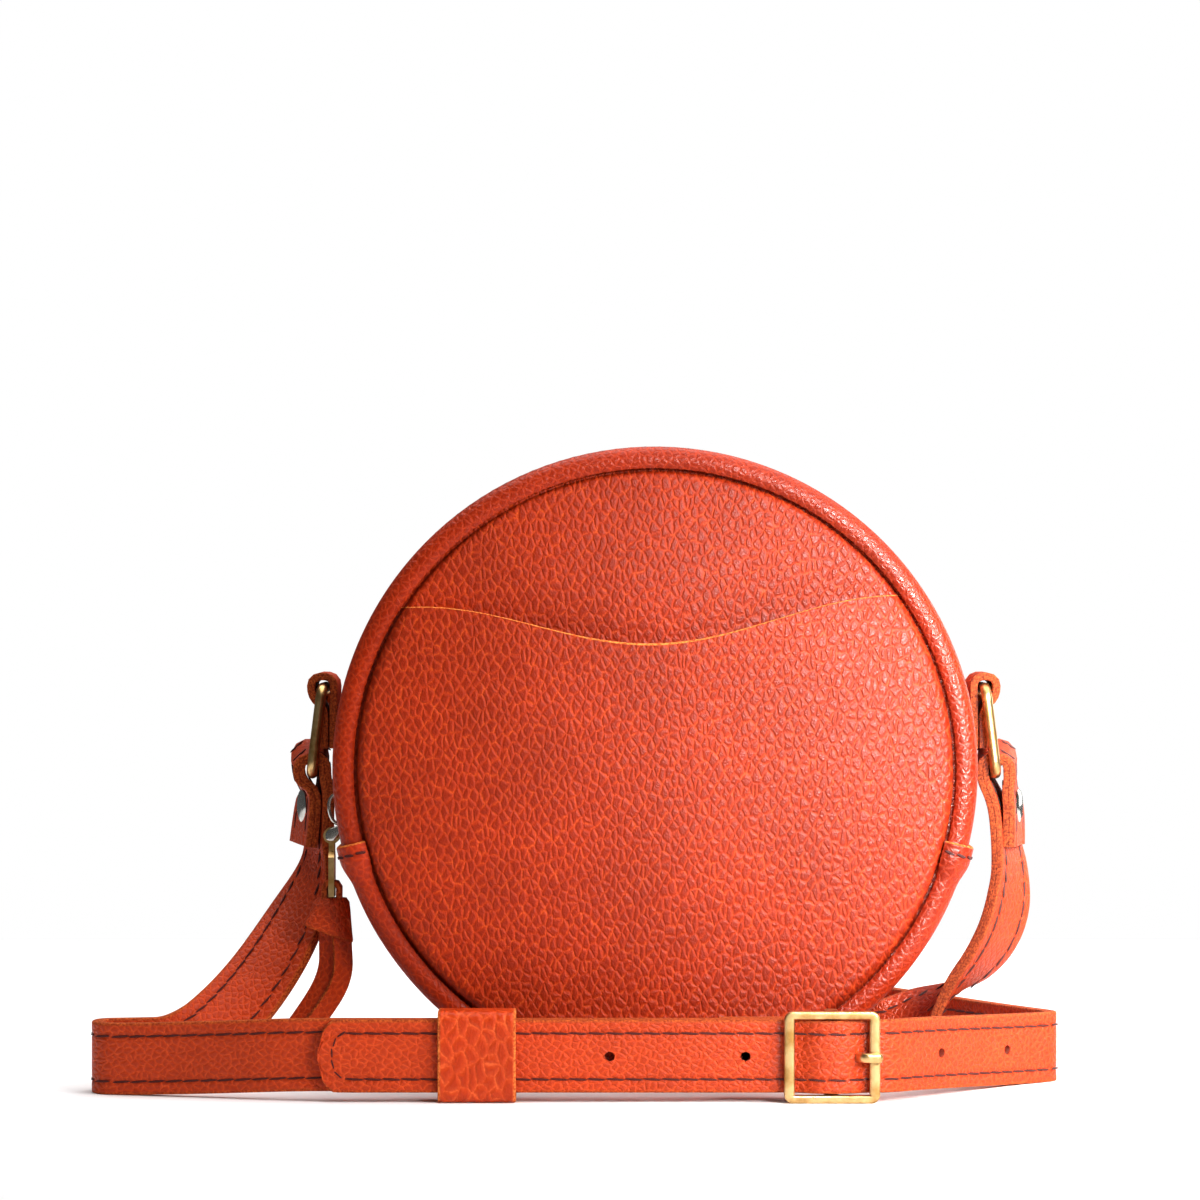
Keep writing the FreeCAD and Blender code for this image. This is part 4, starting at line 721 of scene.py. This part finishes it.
# %% Stitches
def stitches(point, ahead, side, face, length, thick):
    """One small six-sided bead of thread per point: a long ellipse on the face, a little aslant."""
    around = np.linspace(0, 2 * np.pi, 6, endpoint=False)
    slope = np.array([-1.0, -0.72, 0.0, 0.72, 1.0])
    fat = np.array([0.25, 0.8, 1.0, 0.8, 0.25])
    along = slope[:, None] * length / 2 + 0 * around
    across = fat[:, None] * np.cos(around) * thick / 2 + slope[:, None] * thick * 0.22
    up = fat[:, None] * np.sin(around) * thick / 2
    grid = [value.reshape(1, -1, 1) for value in (along, across, up)]
    frames = zip((ahead, side, face), grid)
    points = point[:, None] + sum(vector[:, None] * value for vector, value in frames)
    one = tube(np.zeros((5, 6, 3)))[2]
    shift = np.arange(len(point))[:, None, None] * 30
    groups = [(group[None] + shift).reshape(-1, group.shape[1]) for group in one]
    lay = lay_of(np.tile(along.ravel(), len(point)), np.tile(across.ravel(), len(point)), np.zeros(1))
    return points.reshape(-1, 3), lay, groups


def seam(path, across, lift, pitch=5.0, skip=(0.0, 0.0), length=4.95, thick=0.64):
    """A row of stitches along a path, offset across its width, on the face at the given height."""
    at, point, ahead, width, face = even(path, 0.5)
    spots = np.arange(skip[0] + pitch / 2, at[-1] - skip[1], pitch)
    row = [np.stack([np.interp(spots, at, column) for column in vector.T], -1)
           for vector in (point, ahead, width, face)]
    spot = row[0] + row[2] * across + row[3] * lift
    return stitches(spot, row[1], row[2], row[3] * np.sign(lift), length, thick)


# %% Punched holes
POINT_GAP = 0.44  # between points across the strap


def punched(body, cols, spots, radius):
    """Round holes through a strip. At each station the points round a patch of two rows by six columns
    move to a circle, on both faces; the patch goes and a wall joins the two circles."""
    points, lay, groups = body
    points, lay = points.copy(), lay.copy()
    quads = groups[0]
    half, middle = cols // 2, FACE_POINTS // 2
    steps = np.array([(-1, c) for c in range(-3, 4)] + [(0, 3)]
                     + [(1, c) for c in range(3, -4, -1)] + [(0, -3)])
    turn = np.arctan2(steps[:, 0] * STEP, steps[:, 1] * POINT_GAP)[:, None]
    gone, walls = np.zeros(len(quads), bool), []
    for row in spots:
        front = (row + steps[:, 0]) * cols + middle + steps[:, 1]
        back = (row + steps[:, 0]) * cols + half + middle - steps[:, 1]
        for ring, hub, lean in ((front, middle, 1), (back, half + middle, -1)):
            centre = row * cols + hub
            ahead = unit(points[centre + cols] - points[centre - cols])
            aside = unit(points[centre + 3 * lean] - points[centre - 3 * lean])
            points[ring] = points[centre] + radius * (np.sin(turn) * ahead + np.cos(turn) * aside)
            block = ((row + np.array([-1, 0]))[:, None] * cols + hub + np.arange(-3, 3)).ravel()
            gone[block] = True
        walls.append(np.stack([front, np.roll(front, -1), np.roll(back, -1), back], -1))
    walls = np.vstack(walls)
    return points, lay, [np.vstack([quads[~gone], walls[:, ::-1]])] + groups[1:]


# %% Strap routes
STRAP_WIDE = 19.5
STRAP_THICK = 3.4
BACK = (0, 1, 0)
UP = (0, 0, 1)
LOW = 9.75  # middle of the strap where it stands on the floor
RUN = 12.35  # and where the buckle and keeper lift it
FRONT_Y = -55.4
TIP_X = -91.0


def with_width(points, width):
    """Knots that all share one width direction."""
    return [tuple(point) + tuple(width) for point in points]


def from_front(rows):
    """Knots from the front edge of a band: x, z and how far its width leans aside and up per unit of
    depth."""
    x, z, aside, rise = np.array(rows, float).T
    width = unit(np.stack([aside, np.ones(len(x)), rise], -1))
    front = np.stack([x, np.full(len(x), 11 - STRAP_WIDE / 2), z], -1)
    return np.hstack([front + width * STRAP_WIDE / 2, width])


left_loop = spline(from_front([
    (-96.3, 65.5, -0.33, 0), (-95.7, 70, -0.33, 0), (-95.2, 76.4, -0.30, 0.02), (-95.4, 80.4, -0.22, 0.06),
    (-99.8, 83.4, -0.10, 0.14), (-99.8, 89.8, -0.10, 0.20), (-92.7, 89.8, -0.10, 0.20),
    (-92.4, 83.4, -0.10, 0.12), (-91.6, 80, -0.18, 0.05), (-91.5, 75, -0.30, 0.02),
    (-91.5, 70, -0.35, 0), (-91.6, 65.4, -0.36, 0)]))
left_start = left_loop[-1, :3]
left_hang = hanging(left_start, np.array([-137.95, -21.9, LOW]),
                    np.array([-0.978, -0.21, 0]), (42.9, 66.3), -0.85, -0.36)
left_floor = spline(with_width([
    (-137.95, -21.9, LOW), (-146.5, -23.7, LOW), (-153.2, -25.0, LOW), (-152.4, -36.6, LOW),
    (-144, -38.3, LOW), (-118, -45.4, 11.0), (-97, -51.7, RUN), (-76, -51.7, RUN), (30, -51.7, RUN),
    (40, -51.7, RUN), (44, -54.7, RUN), (47, -54.75, RUN), (50.8, -54.9, RUN), (50.8, -47.7, RUN),
    (47, -47.9, RUN), (40, -47.9, RUN), (17, -48.0, RUN)], UP))
left_path = np.vstack([left_loop[:-1], left_hang[:-1], left_floor])
right_loop = from_front([
    (99.8, 65.2, 0.26, 0), (99.9, 70, 0.26, 0), (100.0, 76.4, 0.23, 0.03), (99.6, 80.6, 0.15, 0.06),
    (100.3, 83.6, 0.11, 0.14), (100.0, 89.8, 0.11, 0.20), (92.7, 89.8, 0.11, 0.20), (92.6, 84.0, 0.10, 0.12),
    (94.4, 80.4, 0.15, 0.06), (95.7, 76, 0.23, 0.03), (96.3, 70, 0.32, 0), (96.5, 64, 0.43, 0)])
right_fall = np.array([
    (101.2, 11, 56, 0.50, 0.86, 0.0), (100.7, 10.6, 48.6, 0.61, 0.79, 0.05),
    (98.6, 11, 41, 0.67, 0.73, 0.10), (94.8, 12.5, 33.8, 0.74, 0.62, 0.23),
    (89.4, 14.8, 27.4, 0.78, 0.50, 0.36), (83.4, 17.8, 21.6, 0.66, 0.46, 0.58),
    (76.4, 21.4, 15.6, 0.38, 0.28, 0.86), (70, 25.0, 11.2, 0.1, 0.08, 0.98), (65.0, 28.0, LOW, 0, 0, 1)])
right_path = spline(np.vstack([right_loop, right_fall, with_width([
    (57, 35, LOW), (49, 42, LOW), (40, 42, LOW), (-46, 42, LOW), (-54.8, 42, LOW),
    (-54.8, 54, LOW), (-46, 54, LOW), (46, 54, LOW), (54.8, 54, LOW), (54.8, 66, LOW), (46, 66, LOW),
    (-46, 66, LOW), (-54.8, 66, LOW), (-54.8, 78, LOW), (-46, 78, LOW), (56, 78, LOW), (68, 78, LOW),
    (75, 64.6, LOW), (101, 15.5, LOW), (109.6, 2.2, LOW), (112.2, -3.4, LOW), (107.4, -7.6, LOW),
    (100, -14.0, 10.0), (72, -44.6, 12.0),
    (62.4, FRONT_Y, RUN), (55.5, FRONT_Y, RUN), (50.8, -58.5, RUN), (43.2, -58.5, RUN),
    (38.5, FRONT_Y, RUN), (28, FRONT_Y, RUN), (-80, FRONT_Y, RUN), (TIP_X, FRONT_Y, RUN)], UP)]))
print("knots end at", left_path[-1, :3], "and", right_path[-1, :3])


def rounded_tip(left):
    """Width share near the tip: half an ellipse, 5 mm long; left is the length still to go."""
    short = np.clip(1 - left / 5.0, 0, 0.995)
    return np.sqrt(1 - short ** 2)


# %% Strap pieces
ROW = STRAP_WIDE / 2 - SEAM_IN
LIFT = STRAP_THICK / 2 - 0.14
HOLES_X = (-11.9, 23.7, 54.2, 76.4, 96.7)
HOLE_RADIUS = 1.35
# The stitches that turn the corner round the tip: place from the tip, and direction, as (x, z).
TIP_AT = np.array([(6.4, 5.9), (4.6, 3.8), (3.9, 0.9), (4.1, -2.1), (5.5, -4.9)])
TIP_LEAN = np.array([(0.88, 0.48), (0.42, 0.91), (0.05, 1.0), (-0.16, 0.99), (-0.68, 0.73)])
for name, path, body, sign in (
    ("strap_buckle_part", left_path, "left_ring", -1),
    ("strap_holed_part", right_path, "right_ring", 1),
):
    narrow = rounded_tip if sign > 0 else None
    start = 700.0 + 600.0 * sign
    band = strip(path, STRAP_WIDE, STRAP_THICK, start, groove=0.28, layers=True, narrow=narrow)
    if sign > 0:
        middle = even(path, STEP)[1]
        front_x = np.where((middle[:, 1] < -12) & (middle[:, 2] > 9), middle[:, 0], 1e6)
        spots = [int(np.argmin(np.abs(front_x - x))) for x in HOLES_X]
        band = punched(band, len(flat_section(STRAP_WIDE, STRAP_THICK)), spots, HOLE_RADIUS)
    item = make(name + "_leather", [band], strap_leather)
    skip = (4.0, 7.5) if sign > 0 else (4.0, 3.0)
    rows = [seam(path, across, lift, skip=skip) for across in (-ROW, ROW) for lift in (LIFT, -LIFT)]
    if sign > 0:
        for lift in (LIFT, -LIFT):
            face = np.tile([0, np.sign(lift), 0], (5, 1))
            spots = np.stack([TIP_AT[:, 0] + TIP_X, np.full(5, FRONT_Y), TIP_AT[:, 1] + RUN], -1)
            ahead = np.stack([TIP_LEAN[:, 0], np.zeros(5), TIP_LEAN[:, 1]], -1)
            rows.append(stitches(spots + face * abs(lift), ahead, np.cross(face, ahead), face, 2.8, 0.64))
    thread = make(name + "_stitching", rows, waxed_thread)
    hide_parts(name)
    for piece in (item, thread):
        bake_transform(piece)
lengths = [round(even(path, 1.0)[0][-1]) for path in (left_path, right_path)]
print("strap parts, with the ends folded round ring and bar:", lengths, "mm")

# %% [markdown]
# ## Ring tabs, keeper and lace
# Three small leather pieces. A tab folds round each ring's upper bar and both its legs are sewn to the
# gusset. The keeper is a closed loop that slides along the two strap layers. The lace is knotted through
# the zip puller and hangs in two tails.

# %% Ring tabs
TAB_THICK = 2.2
for name, sign in (("left_tab", -1), ("right_tab", 1)):
    legs = [(90.3, 93), (90.3, 99), (90.25, 107), (90.0, 113.3), (96.6, 113.3), (96.6, 107.6),
            (92.8, 104.3), (92.8, 99), (92.8, 93)]
    path = spline(with_width([(sign * x, 11.0, z) for x, z in legs], BACK))
    item = make(name + "_leather", [strip(path, STRAP_WIDE, TAB_THICK, 1500.0 + 50 * sign)], strap_leather)
    outer_leg = spline(with_width([(sign * 92.8, 11.0, z) for z in (102.5, 98, 93)], BACK))
    rows = [seam(outer_leg, across, -sign * TAB_THICK / 2, 3.2, length=2.6, thick=0.7)
            for across in (-7.2, 7.2)]
    thread = make(name + "_stitching", rows, waxed_thread)
    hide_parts(name)
    for piece in (item, thread):
        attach(piece, "bag")


# %% Keeper
def rounded_loop(half_a, half_b, corner, count):
    """A rectangle with round corners, as points and outward directions, at even steps of angle in each
    corner: the middle of the corner's circle plus its radius times (cos, sin)."""
    quarter = np.arange(4)[:, None] * np.pi / 2
    turn = (np.linspace(0, np.pi / 2, count) + quarter).ravel()
    slant = np.repeat(quarter + np.pi / 4, count)
    heart = np.sign(np.stack([np.cos(slant), np.sin(slant)], -1)) * (half_a - corner, half_b - corner)
    outward = np.stack([np.cos(turn), np.sin(turn)], -1)
    return heart + corner * outward, outward


KEEPER_AT = (-48.2, -53.55, RUN)
KEEPER_WIDE, KEEPER_THICK = 20.9, 2.1
loop, outward = rounded_loop(6.15, 12.35, 2.6, 14)
round_run = section_run(np.vstack([loop, loop[:1]]))
run = np.linspace(0, round_run[-1], 121)[:-1]
loop, outward = [np.stack([np.interp(run, round_run, np.append(column, column[0])) for column in pair.T], -1)
                 for pair in (loop, outward)]
outward = unit(outward)
section = flat_section(KEEPER_WIDE, KEEPER_THICK)
depth = section[:, 1] - KEEPER_THICK / 2
rings = np.zeros((len(loop), len(section), 3))
rings[..., 0] = section[:, 0]
rings[..., 1:] = loop[:, None] + outward[:, None] * depth[None, :, None]
rings += np.array(KEEPER_AT)
inside = np.maximum(section[:, 2], section[:, 1] < -0.6)
lay = lay_of(section[:, 0] + 1800, run[:, None], inside)
item = make("strap_keeper_leather", [tube(rings, lay, wrap=True)], keeper_leather)
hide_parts("strap_keeper")
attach(item, "keeper")

# %% Lace
LACE_WIDE = 5.4
LACE_THICK = 1.6
PIN_X, PIN_Y = -89.966, -9.0
KNOT_TOP, KNOT_TALL = 51.7, 12.0
loop = spline(with_width([(PIN_X + x, PIN_Y, z) for x, z in (
    (2.0, 49), (2.0, 53), (2.1, 56.0), (-2.1, 56.0), (-2.0, 53), (-2.0, 49))], BACK))
bodies = [strip(loop, LACE_WIDE, LACE_THICK, 2000.0)]
# The knot is a stack of ovals, row by row from its top: how far down, half width, half depth. The last
# rows turn back inside the skirt.
turn = np.linspace(0, 2 * np.pi, 72, endpoint=False)
down = np.array([0.02, 0.0, 0.10, 0.30, 0.55, 0.80, 0.94, 1.0, 0.97, 0.80, 0.60])[:, None]
wide = np.array([2.5, 4.0, 4.9, 5.4, 5.9, 6.5, 6.9, 6.9, 5.9, 5.2, 3.0])[:, None]
deep = np.array([2.0, 3.1, 3.6, 3.8, 3.9, 4.0, 4.1, 4.0, 3.1, 2.6, 1.5])[:, None]
x = PIN_X - 1.4 * down + wide * np.cos(turn) * (1 + 0.05 * np.sin(3 * turn + 2 * down))
y = PIN_Y - 0.8 * down + deep * np.sin(turn)
z = KNOT_TOP - KNOT_TALL * 0.86 * down - 0.36 * down * (x - PIN_X)
raw = np.array([0, 0, 0, 0, 0, 0, 0.2, 1, 1, 1, 1.0])[:, None]
poles = np.array([[PIN_X, PIN_Y, KNOT_TOP - 0.3], [PIN_X - 0.9, PIN_Y - 0.5, KNOT_TOP - 6.5]])
rings = np.stack([x, y, z], -1)
bodies.append(shell(rings, poles, lay_of(turn * 5.5 + 2100, KNOT_TALL * down, raw),
                    lay_of(2100, 0, np.array([0, 1]))))
for shift, tail in (
    (-1.0, [(-87.4, 46), (-87.0, 38), (-86.6, 30.5), (-90.3, 22.6), (-97.3, 13.8)]),
    (1.0, [(-91.2, 46), (-91.0, 38), (-91.0, 31.5), (-94.6, 23.5), (-101.2, 14.6)]),
):
    points = [(tx, PIN_Y - 0.9 + shift, tz) + (0.96, 0.28 if shift < 0 else -0.5, 0) for tx, tz in tail]
    bodies.append(strip(spline(points), LACE_WIDE, LACE_THICK, 2200.0 + 40 * shift))
item = make("pull_lace_leather", bodies, strap_leather)
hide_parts("pull_lace")
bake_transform(item)

# %% [markdown]
# ## Stitching on the bag
# One row crosses each lap of the lower gusset, and one row holds each zip strip to its tape. Each stitch is
# a tiny closed bead of thread, so the rows are real shapes in the mesh.

# %% Bag stitching
def round_seam(across, radius, angles):
    """Stitches along the zip: points on a circle round the bag's axis at a fixed place across."""
    c, s, none = np.cos(angles), np.sin(angles), np.zeros(len(angles))
    spot = np.stack([radius * s, none + across, AXIS + radius * c], -1)
    ahead = np.stack([c, none, -s], -1)
    face = np.stack([s, none, c], -1)
    return stitches(spot, ahead, np.tile([0.0, 1.0, 0.0], (len(angles), 1)), face, 2.9, 0.7)


zip_angles = np.arange(-STRIP_END + 0.07, STRIP_END - 0.07, 4.0 / STRIP)
for name, across, body in (
    ("zip_front_stitching", -17.0, "mouth"),
    ("zip_back_stitching", -1.0, "bag"),
):
    item = make(name, [round_seam(across, STRIP + 0.05, zip_angles)], waxed_thread)
    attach(item, body)

# The lap's row follows the section; the way out of the leather is square to both the row and the strip.
lap_rows = []
ACROSS = np.array([0, 1.0, 0])
lap_line = swollen(outer, np.full((1, 1), LAP_THICK))[0]
lap_run = section_run(lap_line)
spots = np.arange(2.2, lap_run[-1] - 1.0, 3.4)
y = np.interp(spots, lap_run, lap_line[:, 0])
r = np.interp(spots, lap_run, lap_line[:, 1])
slope = np.stack([np.interp(spots + 0.2, lap_run, line) - np.interp(spots - 0.2, lap_run, line)
                  for line in lap_line.T], -1)
slope = unit(slope)
for sign in (-1, 1):
    angle = sign * np.radians(LAP_TOP + 2.0)
    spoke = np.array([np.sin(angle), 0, np.cos(angle)])
    lengthwise = np.array([np.cos(angle), 0, -np.sin(angle)])
    along = slope[:, :1] * ACROSS + slope[:, 1:] * spoke
    face = np.cross(along, lengthwise)
    face *= np.sign(np.sum(face * (spoke + np.sign(y)[:, None] * ACROSS), 1))[:, None]
    spot = spoke * r[:, None] + ACROSS * y[:, None] + np.array([0, 0, AXIS]) + face * 0.05
    lap_rows.append(stitches(spot, along, np.tile(lengthwise, (len(spots), 1)), face, 2.9, 0.85))
item = make("lap_stitching", lap_rows, waxed_thread)
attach(item, "bag")

# %% [markdown]
# ## Metal parts
# Rings, teeth, stops and puller keep their solids and get a finish. The rivets, the zip slider, the buckle
# and its prong are made again with rounded sections, because a cast or pressed part catches light along
# its edges. A rivet is a profile spun about its axis. The buckle and the slider's bars are a soft square
# carried along a line. A bevel on the solid could round them too, but it would need the right edges picked.

# %% Metal that keeps its solid
for names, material in (
    (("left_ring", "right_ring", "zip_teeth_front", "zip_teeth_back", "zip_stops", "zip_puller"),
     antique_brass),
    (("buckle_rivet",), nickel),
):
    for name in names:
        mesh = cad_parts[name].data
        mesh.materials.clear()
        mesh.materials.append(material)
    print(material.name, "on", ", ".join(names))


# %% Rivets
def spun(profile, centre, axis, side):
    """A profile of (along, radius) points turned about an axis through a centre."""
    turn = np.linspace(0, 2 * np.pi, 48, endpoint=False)
    axis, side = np.array(axis, float), np.array(side, float)
    third = np.cross(axis, side)
    profile = np.array(profile)
    spokes = np.cos(turn)[:, None] * side + np.sin(turn)[:, None] * third
    rings = np.array(centre) + profile[:, 0, None, None] * axis + profile[:, 1, None, None] * spokes
    poles = np.array(centre) + profile[[0, -1], 0][:, None] * axis
    return shell(rings, poles)


CAP = 4.8
dome = np.linspace(0.06, 1, 12)
cap_out = np.stack([3.65 + 1.1 * np.sqrt(np.clip(1 - dome ** 2, 0, 1)), CAP * dome], -1)
post = np.array([[3.6, CAP * 0.96], [3.6, 1.5]])
half_rivet = np.vstack([cap_out, post])
rivet = np.vstack([half_rivet, (half_rivet * [-1, 1])[::-1]])
for name, place, lean, body in (
    ("left_strap_rivet", (-96.1, 10.6, 76.4), -0.29, "left_ring"),
    ("right_strap_rivet", (100.0, 10.8, 76.4), 0.23, "right_ring"),
):
    long_way = np.array([lean, 1, 0]) / np.hypot(lean, 1)
    item = make(name + "_nickel", [spun(rivet, place, np.cross(long_way, UP), long_way)], nickel)
    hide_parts(name)
    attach(item, body)


# %% Buckle
def soft_square(count, power):
    """A square with soft corners: |a| ** power + |b| ** power = 1, as unit points."""
    turn = np.linspace(0, 2 * np.pi, count, endpoint=False)
    c, s = np.cos(turn), np.sin(turn)
    return np.stack([np.sign(c) * np.abs(c) ** (2 / power), np.sign(s) * np.abs(s) ** (2 / power)], -1)


BAR_X, BAR_Y = 47.0, -51.3
BUCKLE_AT = (BAR_X, -58.8, RUN)
loop, outward = rounded_loop(12.9 - 1.45, 12.35 - 1.1, 1.4, 10)
square = soft_square(28, 5.0)
half_bar = (1.1 + 0.35 * np.abs(outward[:, 0]))[:, None]
rings = np.zeros((len(loop), 28, 3))
rings[..., [0, 2]] = loop[:, None] + outward[:, None] * (half_bar * square[:, 0])[..., None]
rings[..., 1] = 1.4 * square[:, 1]
bodies = [tube(rings + np.array(BUCKLE_AT), wrap=True)]
level = np.linspace(-11.6, 11.6, 12)[:, None]
circle = soft_square(20, 2.0) * 1.5
bar_spots = np.broadcast_arrays(BAR_X + circle[:, 0], BAR_Y + circle[:, 1], RUN + level)
bodies.append(tube(np.stack(bar_spots, -1)))
for sign in (-1, 1):
    reach = np.array([-58.8, -56.5, -53.0, -50.3, -49.9])
    shrink = np.array([0.8, 1.0, 1.0, 0.9, 0.5])[:, None]
    lug = np.broadcast_arrays(BAR_X + 1.95 * shrink * square[:, 0], reach[:, None],
                              RUN + sign * 11.25 + 1.05 * shrink * square[:, 1])
    bodies.append(tube(np.stack(lug, -1)))
item = make("buckle_frame_brass", bodies, antique_brass)
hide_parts("buckle_frame")
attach(item, "bag")

# %% Zip slider
SLIDER_AT = np.radians(98.0)  # from the top of the bag
SLIDER_R = 88.0
PIN_R, PIN_S = 91.98, 6.11  # the pin's place, out from the axis and along the tape


def on_zip(along, across, radius):
    """A place on the zip: along the tape from the slider's middle, across the bag, out from its axis."""
    angle = SLIDER_AT + np.asarray(along) / SLIDER_R
    spot = (-radius * np.sin(angle), across, AXIS + radius * np.cos(angle))
    return np.stack(np.broadcast_arrays(*spot), -1)


def slider_plate(low, high, crown):
    """A plate with soft corners, wider at the throat: its outline shrunk to the middle above and below."""
    outline = soft_square(56, 3.2)
    scale = np.array([0.04, 0.4, 0.7, 0.86, 0.94, 0.985, 1.0, 1.0, 0.985, 0.94, 0.8, 0.04])[:, None]
    share = np.array([1, 1, 1, 1, 0.97, 0.86, 0.68, 0.32, 0.14, 0.03, 0, 0.0])[:, None]
    along = 5.5 * scale * outline[:, 0]
    across = PIN_Y + (3.85 + 0.45 * outline[:, 0]) * scale * outline[:, 1]
    radius = low + (high - low) * share + crown * share * (1 - scale ** 2)
    return shell(on_zip(along, across, radius), on_zip(0, PIN_Y, np.array([high + crown, low])))


def bent_bar(along, radius, across, half_wide, half_thick, corners):
    """A bar bent in the plane of the zip: a soft square carried along a line of (along, radius) points."""
    square = soft_square(24, corners)
    ahead = unit(np.stack([np.gradient(along), np.gradient(radius)], -1))
    thick = half_thick * np.ones((len(along), 1)) * square[:, 1]
    return tube(on_zip(along[:, None] - ahead[:, 1:] * thick, across + half_wide * square[:, 0],
                       radius[:, None] + ahead[:, :1] * thick))


# Two plates round the teeth, the bridge over the top one, the post between them, two cheeks and the pin.
arch = np.linspace(0, np.pi, 36)
bodies = [
    slider_plate(88.0, 89.35, 0.35),
    slider_plate(85.2, 84.0, -0.2),
    bent_bar(-0.7 + 4.1 * np.cos(arch), 89.0 + 2.55 * np.sin(arch) ** 0.8, PIN_Y, 1.55, 0.48, 3.0),
    bent_bar(np.full(6, 3.0), np.linspace(84.8, 88.4, 6), PIN_Y, 1.1, 1.3, 2.4),
]
rise = np.linspace(0, 1, 14)
neck = np.array([0.75, 1.0, 1.15, 1.25, 1.35, 1.45, 1.55, 1.6, 1.62, 1.6, 1.5, 1.3, 0.95, 0.4])
for across in (-11.95, -6.05):
    bodies.append(bent_bar(4.7 + rise * 1.9, 88.9 + rise * 4.65, across, 0.5, neck[:, None], 4.0))
turn = np.linspace(0, 2 * np.pi, 20, endpoint=False)
pin_ends = np.array([[-12.3], [-5.7]])
bodies.append(tube(on_zip(PIN_S + 0.85 * np.cos(turn), pin_ends, PIN_R + 0.85 * np.sin(turn))))
item = make("zip_slider_nickel", bodies, nickel)
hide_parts("zip_slider")
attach(item, "slider")

# %% Prong
prong = spline(with_width([(49.0, -51.4, RUN), (51.4, -52.6, RUN), (53.8, -57.4, RUN),
                           (55.3, -61.4, RUN), (58.0, -61.4, RUN), (60.6, -61.4, RUN)], UP))
at, point, ahead, width, face = even(prong, 0.35)
blunt = np.sqrt(np.clip((at[-1] - at) / 0.7, 0.08, 1))[:, None]
stout = soft_square(20, 3.0)
rings = (point[:, None] + width[:, None] * (1.35 * blunt * stout[:, 0])[..., None]
         + face[:, None] * (1.0 * blunt * stout[:, 1])[..., None])
turn = np.linspace(0, 2 * np.pi, 40, endpoint=False)[:, None]
eye_radius = 2.2 + 0.55 * stout[:, 0]
eye = np.stack(np.broadcast_arrays(BAR_X + eye_radius * np.cos(turn), BAR_Y + eye_radius * np.sin(turn),
                                   RUN + 1.4 * stout[:, 1]), -1)
item = make("buckle_prong_brass", [tube(rings), tube(eye, wrap=True)], antique_brass)
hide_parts("buckle_prong")
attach(item, "prong")
